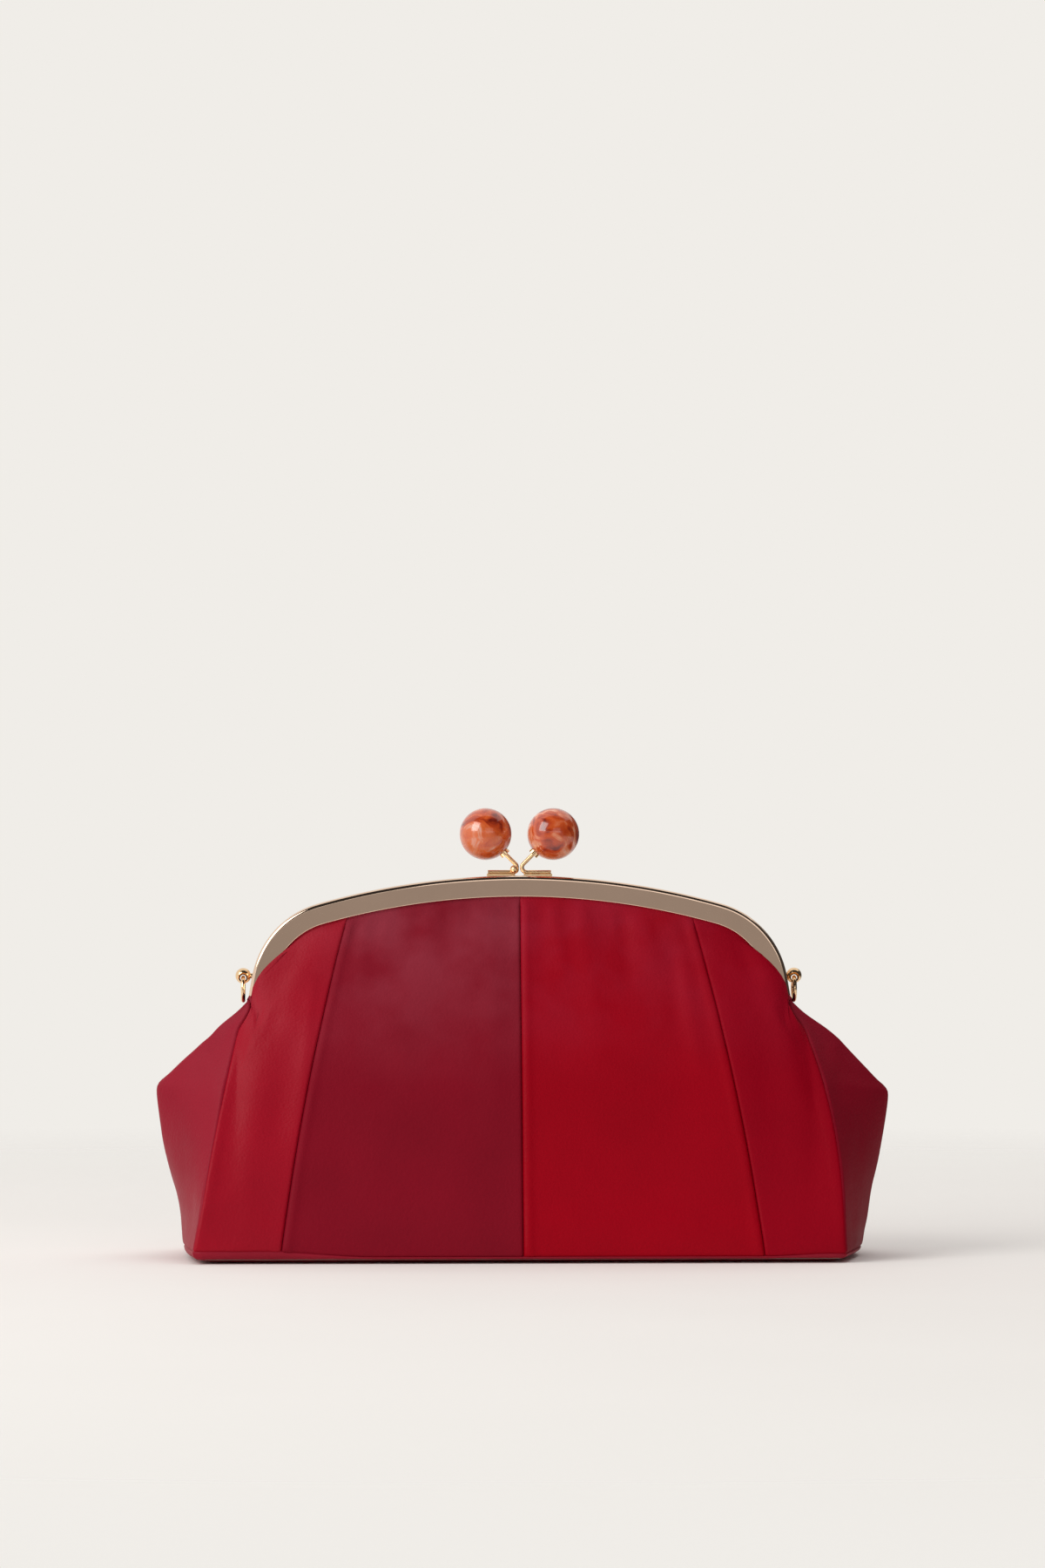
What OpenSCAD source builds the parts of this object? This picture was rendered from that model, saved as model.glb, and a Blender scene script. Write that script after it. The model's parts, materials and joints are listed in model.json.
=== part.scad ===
// Kiss lock frame purse: a patchwork leather clutch on a two-piece arched brass frame,
// closed by two resin balls on bent rods. The bag rests on its base at z = 0, its front
// faces -Y, and the frame's hinge line runs along X. Everything is in millimetres.

/* [Bag] */
// Depth of the base from front to back
bag_depth = 90; // [76:1:110]
// Length of the base along its front edge
base_l = 243.6; // [226:0.2:270]
// Width over the two gusset tips, the widest place of the bag
tip_w = 281; // [272:0.5:300]
// Height of the gusset tips
tip_z = 66; // [56:1:72]
// How far the middle of each gusset stands out past the end of the front panel at the base
gusset_out = 7.2; // [4:0.2:12]
// Depth of the gussets' valley fold under the ends of the frame's legs
valley_drop = 4.5; // [4:0.5:14]
// How strongly the panels puff before they lean in to the frame
puff = 1.5; // [1.2:0.05:2]
// Half width of the two middle patches at the base
patch_base = 91.2; // [80:0.2:100]
// Half width of the two middle patches, carried up to the crown's height
patch_top = 61.5; // [54:0.5:66]
// Bow of the seam between the middle and side patches
patch_bow = 3.4; // [0:0.2:5]
// Thickness of the leather
leather_t = 1.2; // [0.8:0.1:1.4]
// Thickness of the lining cloth
lining_t = 0.4; // [0.3:0.1:0.6]
// Thickness of the stiff board over the base
board_t = 1.8; // [1:0.1:3]
// Gap between sewn neighbours
sewn_gap = 0.3; // [0.2:0.05:0.4]
// Gap between the leather and the lining that hangs loose in the bag
lining_gap = 0.6; // [0.4:0.1:1]
// Drop from the hinge pin to the height above which the leather moves with the frame
split_drop = 11; // [9:0.5:13]

/* [Frame] */
// Height of the frame's crown above the table
frame_top = 145.4; // [140:0.2:152]
// Radius of the long top arc
arch_r = 284; // [262:1:300]
// Half angle of the long top arc
arch_a = 15.8; // [15:0.1:16.6]
// Radius of each shoulder
shoulder_r = 35; // [32:0.5:38]
// Angle from upright at which a shoulder runs into its straight leg
leg_a = 80; // [76:1:84]
// Length of the straight leg below the shoulder
leg_l = 8.2; // [6.8:0.2:10]
// Depth of one frame half, from its face to the closing line
half_depth = 8; // [7.6:0.1:9]
// Height of the flat face round the arch
face_h = 8; // [7:0.2:9]
// Width of the face at the lower end of a leg
face_leg_w = 4.6; // [4.4:0.1:5.4]
// Thickness of the frame's metal
wall = 1; // [0.8:0.05:1.2]
// Radius of the rounded outer edge
edge_r = 1.6; // [1.3:0.1:2]
// Height of the inner wall that closes the leather channel
inner_h = 6.4; // [5.6:0.2:6.8]
// Thickness of the inner wall
inner_t = 0.8; // [0.6:0.05:0.9]
// Width of the channel that holds the leather
slot_w = 3.2; // [3:0.05:3.4]
// Gap between the two closed halves
closing_gap = 0.3; // [0.2:0.05:0.5]
// Gap between the face and the leather behind it
face_fit = 0.1; // [0.05:0.05:0.2]
// Gap beside the paper cord in the channel
cord_fit = 0.06; // [0.02:0.02:0.1]

/* [Hinge] */
// Height of the hinge pin above the lower ends of the legs
hinge_rise = 2; // [1.7:0.1:3]
// Diameter of the hinge rivet
rivet_d = 1.8; // [1.4:0.1:2.2]
// Diameter of the rivet's heads
rivet_head_d = 3.4; // [3:0.1:3.8]
// Thickness of each head
rivet_head_t = 0.7; // [0.5:0.05:0.8]
// Thickness of a hinge tab
tab_t = 0.9; // [0.7:0.05:1]
// Radius of the round end of a tab
tab_r = 2.7; // [2.3:0.05:2.8]
// Length of a tab's foot up the inner wall
tab_foot = 7; // [5:0.5:9]
// Radial clearance of the rivet in its bores
pin_fit = 0.08; // [0.04:0.01:0.1]

/* [Ball lock] */
// Diameter of the two resin balls
ball_d = 20; // [16:0.5:22]
// Gap between the closed balls
ball_gap = 5.8; // [4:0.2:10]
// Diameter of the bent rods
rod_d = 1.6; // [1.2:0.1:2]
// Lean of the rods from the frame
stem_a = 45; // [40:1:50]
// Radius of each rod's bend, on its centre line
bend_r = 1.85; // [1.5:0.05:2.4]
// Distance of each rod from the closing line
rod_y = 2.4; // [2:0.1:2.8]
// Length of the brazed foot of each rod
foot_l = 10.8; // [8:0.2:14]
// Width of the foot
foot_w = 3.2; // [2.6:0.1:3.4]
// Height of the foot's plate above the crown
foot_t = 0.75; // [0.5:0.05:1]
// Depth of the rod's bore in a ball
ball_bore = 7; // [5:0.5:9]
// Diameter of the cup under a ball
cup_d = 4; // [3.4:0.1:5]
// Height of the cup outside the ball
cup_h = 1.1; // [0.8:0.1:1.6]
// Diameter of the catch ball
catch_d = 3.4; // [2.8:0.1:3.6]
// Height of the catch ball's middle above the rod
catch_lift = 1.05; // [0.9:0.05:1.3]
// Side clearance that keeps each half's lock parts on its own side
lock_gap = 0.1; // [0.05:0.05:0.2]

/* [Strap ears] */
// Diameter of an ear's drilled ball
ear_d = 6; // [5.4:0.1:6.4]
// Height of the ear's middle above the lower ends of the legs
ear_rise = 8; // [7:0.1:10]
// Distance of the ears behind the closing line
ear_y = 4; // [3.9:0.05:4.2]
// Diameter of the post that holds the ear
post_d = 2; // [1.6:0.1:2.2]
// Free length of the post between the frame and the ball
post_l = 0.5; // [0.3:0.1:1]
// Depth of the hole below the ear's middle
hole_drop = 0.8; // [0.6:0.05:1]
// Diameter of the hole for the ring
hole_d = 2.4; // [2.3:0.05:2.6]
// Diameter of the ring's wire
ring_wire = 1.6; // [1.4:0.05:1.7]
// Diameter of the ring on its centre line
ring_d = 8.8; // [8.4:0.1:9.6]

/* [Hidden] */

$fn = 64;
big = 400;

// Leather and metal colours
brass = [0.83, 0.68, 0.50];
resin = [0.78, 0.33, 0.16];
cherry = [0.66, 0.08, 0.13];
wine = [0.45, 0.06, 0.11];
scarlet = [0.70, 0.02, 0.07];
poppy = [0.64, 0.02, 0.06];
garnet = [0.40, 0.06, 0.10];
lining_red = [0.36, 0.07, 0.10];
board_grey = [0.45, 0.42, 0.40];
paper = [0.80, 0.74, 0.62];

function mix(a, b, t) = a + (b - a) * t;
function unit(v) = v / norm(v);

// The arch on the bag's XZ plane: its circles and the ends of its arcs
arch_z = frame_top - arch_r;
shoulder_x = (arch_r - shoulder_r) * sin(arch_a);
shoulder_z = arch_z + (arch_r - shoulder_r) * cos(arch_a);
leg_top_x = shoulder_x + shoulder_r * sin(leg_a);
leg_top_z = shoulder_z + shoulder_r * cos(leg_a);
leg_bottom = leg_top_z - leg_l * sin(leg_a);
hinge_z = leg_bottom + hinge_rise;
ear_z = leg_bottom + ear_rise;

// Outer surface of a leg at height z
function leg_x(z) = leg_top_x + (leg_top_z - z) / tan(leg_a);

// Point on the arch, a degrees from upright and d inside the outer surface
function arch_point(a, d) = a <= arch_a
    ? [(arch_r - d) * sin(a), arch_z + (arch_r - d) * cos(a)]
    : [shoulder_x + (shoulder_r - d) * sin(a), shoulder_z + (shoulder_r - d) * cos(a)];

// The face narrows down the leg along one arc, which leaves the shoulder at taper_a
taper_a = 45;
taper_from = arch_point(taper_a, face_h);
taper_to = [leg_x(leg_bottom) - face_leg_w, leg_bottom];
taper_step = taper_to - taper_from;
taper_r = -(taper_step * taper_step) / (2 * taper_step * [sin(taper_a), cos(taper_a)]);
taper_c = taper_from - taper_r * [sin(taper_a), cos(taper_a)];

// Lower edge of the frame's face at a distance x from the middle. Past the leg it is the
// height at which the leather turns in under the leg's end.
function face_z(x) =
    x <= (arch_r - face_h) * sin(arch_a) ? arch_z + sqrt(pow(arch_r - face_h, 2) - x * x)
    : x <= taper_from.x ? shoulder_z + sqrt(pow(shoulder_r - face_h, 2) - pow(x - shoulder_x, 2))
    : x <= taper_to.x ? taper_c.y + sqrt(taper_r * taper_r - pow(x - taper_c.x, 2))
    : leg_bottom + mix(-0.3, 2, max(0, min(1, (x - leg_x(leg_bottom) + 1.6) / 2.5)));

// Same edge as a point, a degrees from upright on the shoulder
function face_point(a) = a <= taper_a ? arch_point(a, face_h)
    : let (x = mix(taper_from.x, taper_to.x, (a - taper_a) / (leg_a - taper_a)))
        [x, face_z(x)];

// Leather stops this far inside the outer surface, and lies against the face
seat_inset = wall + 0.6;
leather_y = half_depth - wall - face_fit;
base_t = leather_t;
wall_z = base_t + sewn_gap;
// Above this height the leather moves with the frame
split_z = hinge_z - split_drop;
// The side seam ends just outside the foot of the leg
seam_top_x = leg_x(hinge_z) + 1.1;

function seam_x(z) = mix(base_l / 2, seam_top_x, z / hinge_z);
function patch_x(z) = let (t = z / frame_top)
    mix(patch_base, patch_top, t) + 4 * patch_bow * t * (1 - t);
function front_y(x, z) =
    -leather_y - (bag_depth / 2 - leather_y) * (1 - pow(min(z / face_z(abs(x)), 1), puff));

// Grids of points: rows go up, columns go to the right as seen from outside
function grid_normal(g, i, j) =
    let (r = len(g) - 1, c = len(g[0]) - 1,
        up = g[min(i + 1, r)][j] - g[max(i - 1, 0)][j],
        across = g[i][min(j + 1, c)] - g[i][max(j - 1, 0)])
    unit(cross(across, up));
function sunk(g, d) =
    [for (i = [0 : len(g) - 1]) [for (j = [0 : len(g[0]) - 1]) g[i][j] - d * grid_normal(g, i, j)]];
function quad(a, b, c, d) = [[a, b, c], [a, c, d]];

// Closed sheet between two grids. In a mirrored one the squares left of the middle are cut
// along their other diagonal, as in the patches that it lies against.
module sheet(outer, inner, mirrored = false) {
    rows = len(outer);
    cols = len(outer[0]);
    n = rows * cols;
    top = (rows - 1) * cols;
    points = concat([for (row = outer) each row], [for (row = inner) each row]);
    faces = concat(
        [for (i = [0 : rows - 2], j = [0 : cols - 2]) let (a = i * cols + j, b = a + cols)
            each mirrored && j < (cols - 1) / 2 ? quad(b, b + 1, a + 1, a)
                : quad(a, b, b + 1, a + 1)],
        [for (i = [0 : rows - 2], j = [0 : cols - 2]) let (a = n + i * cols + j, b = a + cols)
            each mirrored && j < (cols - 1) / 2 ? quad(a + 1, b + 1, b, a)
                : quad(a, a + 1, b + 1, b)],
        [for (j = [0 : cols - 2]) each quad(j, j + 1, n + j + 1, n + j)],
        [for (j = [0 : cols - 2]) each quad(top + j, n + top + j, n + top + j + 1, top + j + 1)],
        [for (i = [0 : rows - 2]) let (a = i * cols)
            each quad(a, n + a, n + a + cols, a + cols)],
        [for (i = [0 : rows - 2]) let (a = i * cols + cols - 1)
            each quad(a, a + cols, n + a + cols, n + a)]
    );
    polyhedron(points, faces, convexity = 6);
}

module leather(g) { sheet(g, sunk(g, leather_t)); }

module lining(g, gap, mirrored) {
    start = leather_t + gap;
    sheet(sunk(g, start), sunk(g, start + lining_t), mirrored);
}

// Front panels, right half
wall_rows = 8;
patch_cols = 6;
function panel_point(x, z) = [x, front_y(x, z), z];

function lower_patch(from, to) = [for (i = [0 : wall_rows])
    let (z = mix(wall_z, split_z - sewn_gap / 2, i / wall_rows), f = from(z), t = to(z))
        [for (j = [0 : patch_cols]) panel_point(mix(f, t, j / patch_cols), z)]];
function middle_from(z) = sewn_gap / 2;
function middle_to(z) = patch_x(z) - sewn_gap / 2;
function side_from(z) = patch_x(z) + sewn_gap / 2;
function side_to(z) = seam_x(z) - sewn_gap;

lower_middle = lower_patch(function (z) middle_from(z), function (z) middle_to(z));
lower_side = lower_patch(function (z) side_from(z), function (z) side_to(z));

// The middle patch rises in columns to the face, and its last row is in the channel
top_rows = 6;
top_z = split_z + sewn_gap / 2;
patch_edge_x = patch_x(face_z(patch_x(frame_top - 2 * face_h)));
function seat_z(x) = arch_z + sqrt(pow(arch_r - seat_inset, 2) - x * x);
function column_x(u) = mix(sewn_gap / 2, patch_edge_x - sewn_gap / 2, u);
top_middle = concat(
    [for (i = [0 : top_rows]) [for (j = [0 : patch_cols])
        let (u = j / patch_cols, z = mix(top_z, face_z(column_x(u)), i / top_rows))
        panel_point(mix(middle_from(z), middle_to(z), u), z)]],
    [[for (j = [0 : patch_cols]) let (x = column_x(j / patch_cols)) panel_point(x, seat_z(x))]]);

// The side patch rises in rows. Each row ends at the face and then in the channel.
free_zs = [top_z, mix(top_z, leg_bottom - 2, 0.5), leg_bottom - 2];
leg_zs = [leg_bottom - 0.3, mix(leg_bottom, leg_top_z, 0.5)];
seat_as = [78, 70, 60, 50, 40, 30, 22, arch_a, 14.9];
function row_to(from, edge, seat) = concat(
    [for (j = [0 : patch_cols]) panel_point(mix(from, edge.x, j / patch_cols), edge.y)],
    [panel_point(seat.x, seat.y)]);
function leg_edge(z) = [leg_x(z) - face_leg_w, z];
top_side = concat(
    [for (z = free_zs) row_to(side_from(z), [seam_x(z) - 3, z], [seam_x(z) - sewn_gap, z])],
    [for (z = leg_zs) row_to(side_from(z), leg_edge(z), [leg_x(z) - seat_inset, z])],
    [for (a = seat_as) let (edge = face_point(a)) if (edge.x > patch_x(edge.y) + 1.2)
        row_to(side_from(edge.y), edge, arch_point(a, seat_inset))]);

// Lining of the front, in one sheet from side to side, on the columns of the patches
lining_side = leather_t + lining_gap + lining_t + 3 * sewn_gap;
function mirrored_row(half) = concat(
    [for (j = [len(half) - 1 : -1 : 1]) [-half[j].x, half[j].y, half[j].z]], half);
lower_lining = [for (i = [0 : wall_rows])
    let (z = mix(wall_z + board_t + 1, split_z - sewn_gap / 2, i / wall_rows))
        mirrored_row(concat(
            [for (j = [0 : patch_cols]) panel_point(mix(0, middle_to(z), j / patch_cols), z)],
            [for (j = [1 : patch_cols])
                panel_point(mix(side_from(z), seam_x(z) - lining_side, j / patch_cols), z)]))];
lining_cols = 14;
function wide_row(edge, seat) = concat(
    [panel_point(-seat.x, seat.y)],
    [for (j = [0 : lining_cols]) panel_point(mix(-edge.x, edge.x, j / lining_cols), edge.y)],
    [panel_point(seat.x, seat.y)]);
crown_as = [13, 11, 9, 7, 5, 3, 1.5];
lining_inset = seat_inset + 0.4;
top_lining = concat(
    [for (z = free_zs) let (x = seam_x(z) - lining_side) wide_row([x - 2, z], [x, z])],
    [for (z = leg_zs) wide_row(leg_edge(z), [leg_x(z) - lining_inset, z])],
    [for (a = concat(seat_as, crown_as)) wide_row(face_point(a), arch_point(a, lining_inset))]);

// Gusset on the right. Below the tip its middle is a soft mountain fold. Above the tip two
// ridges run to the feet of the legs, and the leather between them folds in to a valley.
butt = leather_t + sewn_gap + 0.2;
tip_x = tip_w / 2;
ridge_tip = [tip_x - 0.6, -1.5, tip_z];
ridge_top = [leg_x(leg_bottom) + 1.5, -8.8, leg_bottom + 0.3];
valley_tip = [tip_x, 0, tip_z - 0.8];
valley_top = [leg_x(leg_bottom) - 0.4, 0, leg_bottom - valley_drop];
gusset_split = (split_z - tip_z) / (ridge_top.z - tip_z);
gusset_end = 0.95;
function seam_point(z) = [seam_x(z), front_y(seam_x(z), z) + butt, z];
function fold_x(z) = mix(base_l / 2 + gusset_out, tip_x - 0.6, pow(z / tip_z, 1.08));
steps = [0, 0.3, 0.62, 0.96];
function low_half(z) = let (s = seam_point(z), m = [fold_x(z), 0, z])
    [for (t = steps) mix(s, m, t) + [1.6 * sin(180 * t), 0, 0]];
function high_half(w) =
    let (s = seam_point(mix(tip_z, leg_bottom - 2.5, w)), m = mix(ridge_tip, ridge_top, w))
    [for (t = steps) mix(s, m, t / 0.96) + [1.2 * (1 - w) * sin(187 * t), 0, 0]];
function flip_y(p) = [p.x, -p.y, p.z];
function both_halves(half, middle) = concat(
    half, [middle], [for (j = [len(half) - 1 : -1 : 0]) flip_y(half[j])]);
low_rows = [for (i = [0 : 5]) mix(wall_z, tip_z - 4, i / 5)];
high_rows = [for (i = [0 : 4]) gusset_split * i / 4 - (i == 4 ? 0.006 : 0)];
top_ws = [for (i = [0 : 2]) mix(gusset_split + 0.006, gusset_end, i / 2)];
gusset_grid = concat(
    [for (z = low_rows) both_halves(low_half(z), [fold_x(z), 0, z])],
    [for (w = high_rows) both_halves(high_half(w), mix(valley_tip, valley_top, w))]);
gusset_top_grid = [for (w = top_ws) concat(
    high_half(w), [mix(valley_tip, valley_top, w) - [0, sewn_gap / 2, 0]])];
gusset_lining_grid = [for (i = [0 : len(gusset_grid) - 1])
    [for (j = [0 : 8]) gusset_grid[i][j] + (j == 0 ? [0, 1, 0] : j == 8 ? [0, -1, 0] : [0, 0, 0])
        + (i == 0 ? [0, 0, board_t + 1] : [0, 0, 0])]];

// Base outline, a long hexagon under the walls
module base_outline(inset) {
    x = base_l / 2 - inset;
    m = base_l / 2 + gusset_out - inset;
    y = bag_depth / 2 - inset;
    polygon([[-x, -y], [x, -y], [m, 0], [x, y], [-x, y], [-m, 0]]);
}

module base_panel() {
    color(garnet) linear_extrude(base_t) base_outline(0);
}

module base_board() {
    color(board_grey) translate([0, 0, wall_z]) linear_extrude(board_t)
        base_outline(leather_t + 2 * sewn_gap + 0.6);
}

module base_lining() {
    color(lining_red) translate([0, 0, wall_z + board_t + sewn_gap]) linear_extrude(lining_t)
        base_outline(leather_t + 2 * sewn_gap + lining_t + 1.2);
}

module gusset(side) {
    color(side < 0 ? garnet : wine) scale([side, 1, 1]) leather(gusset_grid);
}

module gusset_lining(side) {
    color(lining_red) scale([side, 1, 1]) lining(gusset_lining_grid, lining_gap, false);
}

module gusset_top(side, face) {
    color(side < 0 ? garnet : wine) scale([side, -face, 1]) leather(gusset_top_grid);
}

// One patch of a front or rear panel: side is -1 or 1, face is -1 for the front
module patch(grid, side, face, tone) {
    color(tone) scale([side, -face, 1]) leather(grid);
}

module panel_lining(grid, gap, face) {
    color(lining_red) scale([1, -face, 1]) lining(grid, gap, true);
}

// Inset of the face's lower edge where the ray that leaves p along u meets the taper arc
function taper_inset(p, u) = let (w = p - taper_c, f = w * u)
    f - sqrt(f * f - w * w + taper_r * taper_r);

// Stations down the right half of the arch: [outer point, outward normal, face width]
function station(a) = let (p = arch_point(a, 0), u = [sin(a), cos(a)])
    [p, u, a <= taper_a ? face_h : taper_inset(p, u)];
function leg_station(l) =
    let (p = [leg_top_x + l * cos(leg_a), leg_top_z - l * sin(leg_a)], u = [sin(leg_a), cos(leg_a)])
    [p, u, taper_inset(p, u)];
function flip_x(st) = [[-st[0].x, st[0].y], [-st[1].x, st[1].y], st[2]];
crown_steps = 9;
shoulder_steps = 15;
down_right = concat(
    [for (i = [1 : crown_steps]) station(arch_a * i / crown_steps)],
    [for (i = [1 : shoulder_steps]) station(mix(arch_a, leg_a, i / shoulder_steps))]);
function stations(ends) = concat(
    [for (i = [len(ends) - 1 : -1 : 0]) flip_x(ends[i])],
    [for (i = [len(down_right) - 1 : -1 : 0]) flip_x(down_right[i])],
    [station(0)], down_right, ends);

// Section of a frame half: [inset, distance from the closing line], round from the lip
inner_y = half_depth - wall - slot_w - inner_t;
function frame_section(face_w) = let (deep = min(inner_h, face_w - 0.3)) concat(
    [[0, closing_gap / 2]],
    [for (a = [0 : 18 : 90]) [edge_r * (1 - cos(a)), half_depth - edge_r * (1 - sin(a))]],
    [[face_w, half_depth], [face_w, half_depth - wall], [wall, half_depth - wall],
        [wall, inner_y + inner_t], [deep, inner_y + inner_t], [deep, inner_y],
        [wall, inner_y], [wall, closing_gap / 2]]);
cord_d = slot_w - face_fit - leather_t - sewn_gap - lining_t - 2 * cord_fit;
function cord_section() = [for (a = [0 : 45 : 315])
    [inner_h / 2 + cord_d / 2 * cos(a), inner_y + inner_t + cord_fit + cord_d / 2 * (1 - sin(a))]];
function ring_at(st, section) =
    [for (q = section) let (p = st[0] - q.x * st[1]) [p.x, -q.y, p.y]];

// Convex pieces of the section's end, as a frame half's section isn't convex itself
frame_cap = concat([[6, 7, 8, 9], [0, 1, 9, 10], [0, 10, 13, 14], [10, 11, 12, 13]],
    [for (i = [1 : 5]) [i, i + 1, 9]]);
cord_cap = [[0, 1, 2, 3, 4, 5, 6, 7]];

// Closed sweep through a row of rings, whose two ends are closed by the faces in cap
module sweep(rings, cap) {
    n = len(rings[0]);
    m = len(rings);
    faces = concat(
        [for (i = [0 : m - 2], j = [0 : n - 1]) let (k = (j + 1) % n)
            each quad(i * n + j, (i + 1) * n + j, (i + 1) * n + k, i * n + k)],
        cap,
        [for (f = cap) [for (i = [len(f) - 1 : -1 : 0]) (m - 1) * n + f[i]]]);
    polyhedron([for (r = rings) each r], faces, convexity = 8);
}

module both_sides() {
    children();
    mirror([1, 0, 0]) children();
}

// The hinge stack on the right leg, from the crown inwards: head, rear tab, front tab, head
stack_gap = 0.1;
stack_x = leg_x(hinge_z) - wall - 0.45;
rear_tab_x = stack_x - rivet_head_t - stack_gap - tab_t;
front_tab_x = rear_tab_x - stack_gap - tab_t;
rivet_x = front_tab_x - stack_gap - rivet_head_t;

// Along the hinge pin on the right
module on_pin(x) {
    translate([x, 0, hinge_z]) rotate([0, 90, 0]) children();
}

// Tab across the hinge pin, which stands on the inner wall of the front half
module hinge_tab(x) {
    root_y = -inner_y - inner_t / 2;
    translate([x, 0, hinge_z]) rotate([90, 0, 90]) linear_extrude(tab_t) {
        circle(tab_r);
        polygon([
            [root_y, -1], [-tab_r / 2, -tab_r * 0.8], [tab_r * 0.8, tab_r / 2],
            [root_y + 1.4, tab_foot], [root_y, tab_foot]
        ]);
    }
}

// What is below the feet of the front half, with room for its turn about the pin
module below_feet() {
    rise = hinge_z - leg_bottom + closing_gap;
    rotate([90, 0, 90]) linear_extrude(big, center = true) polygon([
        [-2 * half_depth, 0], [1, 0], [1, leg_bottom + rise], [0, leg_bottom + rise],
        [-rise, leg_bottom], [-2 * half_depth, leg_bottom]
    ]);
}

// Front half of the frame, with its tabs at tab_x
module half_frame(tab_x) {
    difference() {
        union() {
            difference() {
                sweep([for (st = stations([leg_station(leg_l + 3)]))
                    ring_at(st, frame_section(st[2]))], frame_cap);
                below_feet();
            }
            both_sides() hinge_tab(tab_x);
        }
        both_sides() on_pin(tab_x - 1) cylinder(d = rivet_d + 2 * pin_fit, h = tab_t + 2);
    }
}

module front_frame() {
    color(brass) half_frame(front_tab_x);
}

// The rear half also has a bore for each ear's post
module rear_frame() {
    color(brass) difference() {
        scale([1, -1, 1]) half_frame(rear_tab_x);
        both_sides() on_post() cylinder(d = post_d, h = ear_d);
    }
}

module hinge_rivet(side) {
    color(brass) scale([side, 1, 1]) {
        on_pin(rivet_x) cylinder(d = rivet_head_d, h = rivet_head_t);
        on_pin(rivet_x) cylinder(d = rivet_d, h = stack_x - rivet_x);
        on_pin(stack_x - rivet_head_t) cylinder(d = rivet_head_d, h = rivet_head_t);
    }
}

// Twisted paper cord that wedges the leather in the channel
module channel_cord(face) {
    color(paper) scale([1, -face, 1])
        sweep([for (st = stations([leg_station(leg_l / 2)])) ring_at(st, cord_section())], cord_cap);
}

// Lock rod of the front half: a foot brazed on the crown, a bend and a leaning stem
ball_r = ball_d / 2;
foot_sink = 0.25;
rod_z = frame_top + foot_t - foot_sink + rod_d / 2;
bend_x = lock_gap + rod_d / 2 + bend_r;
bend_z = rod_z + bend_r;
stem_x = bend_x - bend_r * sin(stem_a);
stem_z = bend_z + bend_r * cos(stem_a);
ball_x = (ball_gap + ball_d) / 2;
ball_z = stem_z + (ball_x - stem_x) * tan(stem_a);
stem_l = (ball_x - stem_x) / cos(stem_a) - ball_r + ball_bore;
foot_x = lock_gap + 1.5;

// The straights are a trace thinner than the bend and start inside it
straight_d = rod_d - 0.02;
lap = 0.15;

module lock_rod() {
    translate([0, -rod_y, 0]) {
        translate([bend_x - lap, 0, rod_z]) rotate([0, 90, 0])
            cylinder(d = straight_d, h = foot_x + foot_l - 0.4 - bend_x + lap);
        translate([bend_x, 0, bend_z]) rotate([90, 0, 0]) rotate([0, 0, 90 + stem_a])
            rotate_extrude(angle = 180 - stem_a) translate([bend_r, 0]) circle(d = rod_d);
        translate([stem_x, 0, stem_z]) rotate([0, 90 - stem_a, 0]) translate([0, 0, -lap])
            cylinder(d = straight_d, h = stem_l + lap);
        difference() {
            translate([foot_x, -foot_w / 2, frame_top - wall])
                cube([foot_l, foot_w, wall + foot_t]);
            translate([0, 0, arch_z]) rotate([90, 0, 0])
                cylinder(r = arch_r, h = 2 * foot_w, center = true, $fn = 360);
        }
    }
}

module front_rod() {
    color(brass) lock_rod();
}

// The rear rod carries the catch ball, on a peg that reaches forward beside the front rod
module rear_rod() {
    catch_x = lock_gap + 0.14 + catch_d / 2;
    color(brass) rotate([0, 0, 180]) {
        lock_rod();
        translate([catch_x, rod_y - rod_d / 2, rod_z + catch_lift]) {
            sphere(d = catch_d);
            rotate([90, 0, 0]) cylinder(d = rod_d * 0.9, h = 2 * rod_y - rod_d / 2);
        }
    }
}

// At the middle of the front ball, with +Z down the stem
module at_ball(face) {
    rotate([0, 0, face < 0 ? 0 : 180]) translate([ball_x, -rod_y, ball_z])
        rotate([0, 270 - stem_a, 0]) children();
}

module ball_cup(face) {
    color(brass) at_ball(face) difference() {
        translate([0, 0, ball_r - 0.6]) cylinder(d = cup_d, h = 0.6 + cup_h);
        cylinder(d = rod_d + 0.04, h = 2 * ball_r);
        sphere(r = ball_r, $fn = 96);
    }
}

module resin_ball(face) {
    color(resin) at_ball(face) difference() {
        sphere(r = ball_r, $fn = 96);
        translate([0, 0, ball_r - ball_bore - 0.2]) cylinder(d = rod_d + 0.1, h = 2 * ball_bore);
    }
}

// Strap ears: a drilled ball on a post, and a loose ring through the hole
ear_x = leg_x(ear_z) + post_l + ear_d / 2;
hole_z = ear_z - hole_drop;
sink_from = 1.1;
sink_r = 1;

// Along the post of the right ear, from inside the crown outwards
module on_post() {
    translate([leg_x(ear_z) - 0.7 * wall, ear_y, ear_z]) rotate([0, 90, 0]) children();
}

module ear(side) {
    color(brass) scale([side, 1, 1]) difference() {
        union() {
            on_post() cylinder(d = post_d, h = 0.7 * wall + post_l + ear_d / 4);
            translate([ear_x, ear_y, ear_z]) sphere(d = ear_d);
        }
        translate([ear_x, ear_y, hole_z]) rotate([90, 0, 0])
            cylinder(d = hole_d, h = 2 * ear_d, center = true);
        for (turn = [90, -90])
            translate([ear_x, ear_y, hole_z]) rotate([turn, 0, 0]) translate([0, 0, sink_from])
                cylinder(r1 = hole_d / 2, r2 = hole_d / 2 + sink_r, h = ear_d / 2 - sink_from);
    }
}

module ring(side) {
    ring_z = hole_z + 0.15 - ring_d / 2;
    color(brass) translate([side * ear_x, ear_y, ring_z]) rotate([0, 90, 0])
        rotate_extrude($fn = 96) translate([ring_d / 2, 0]) circle(d = ring_wire);
}

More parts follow.
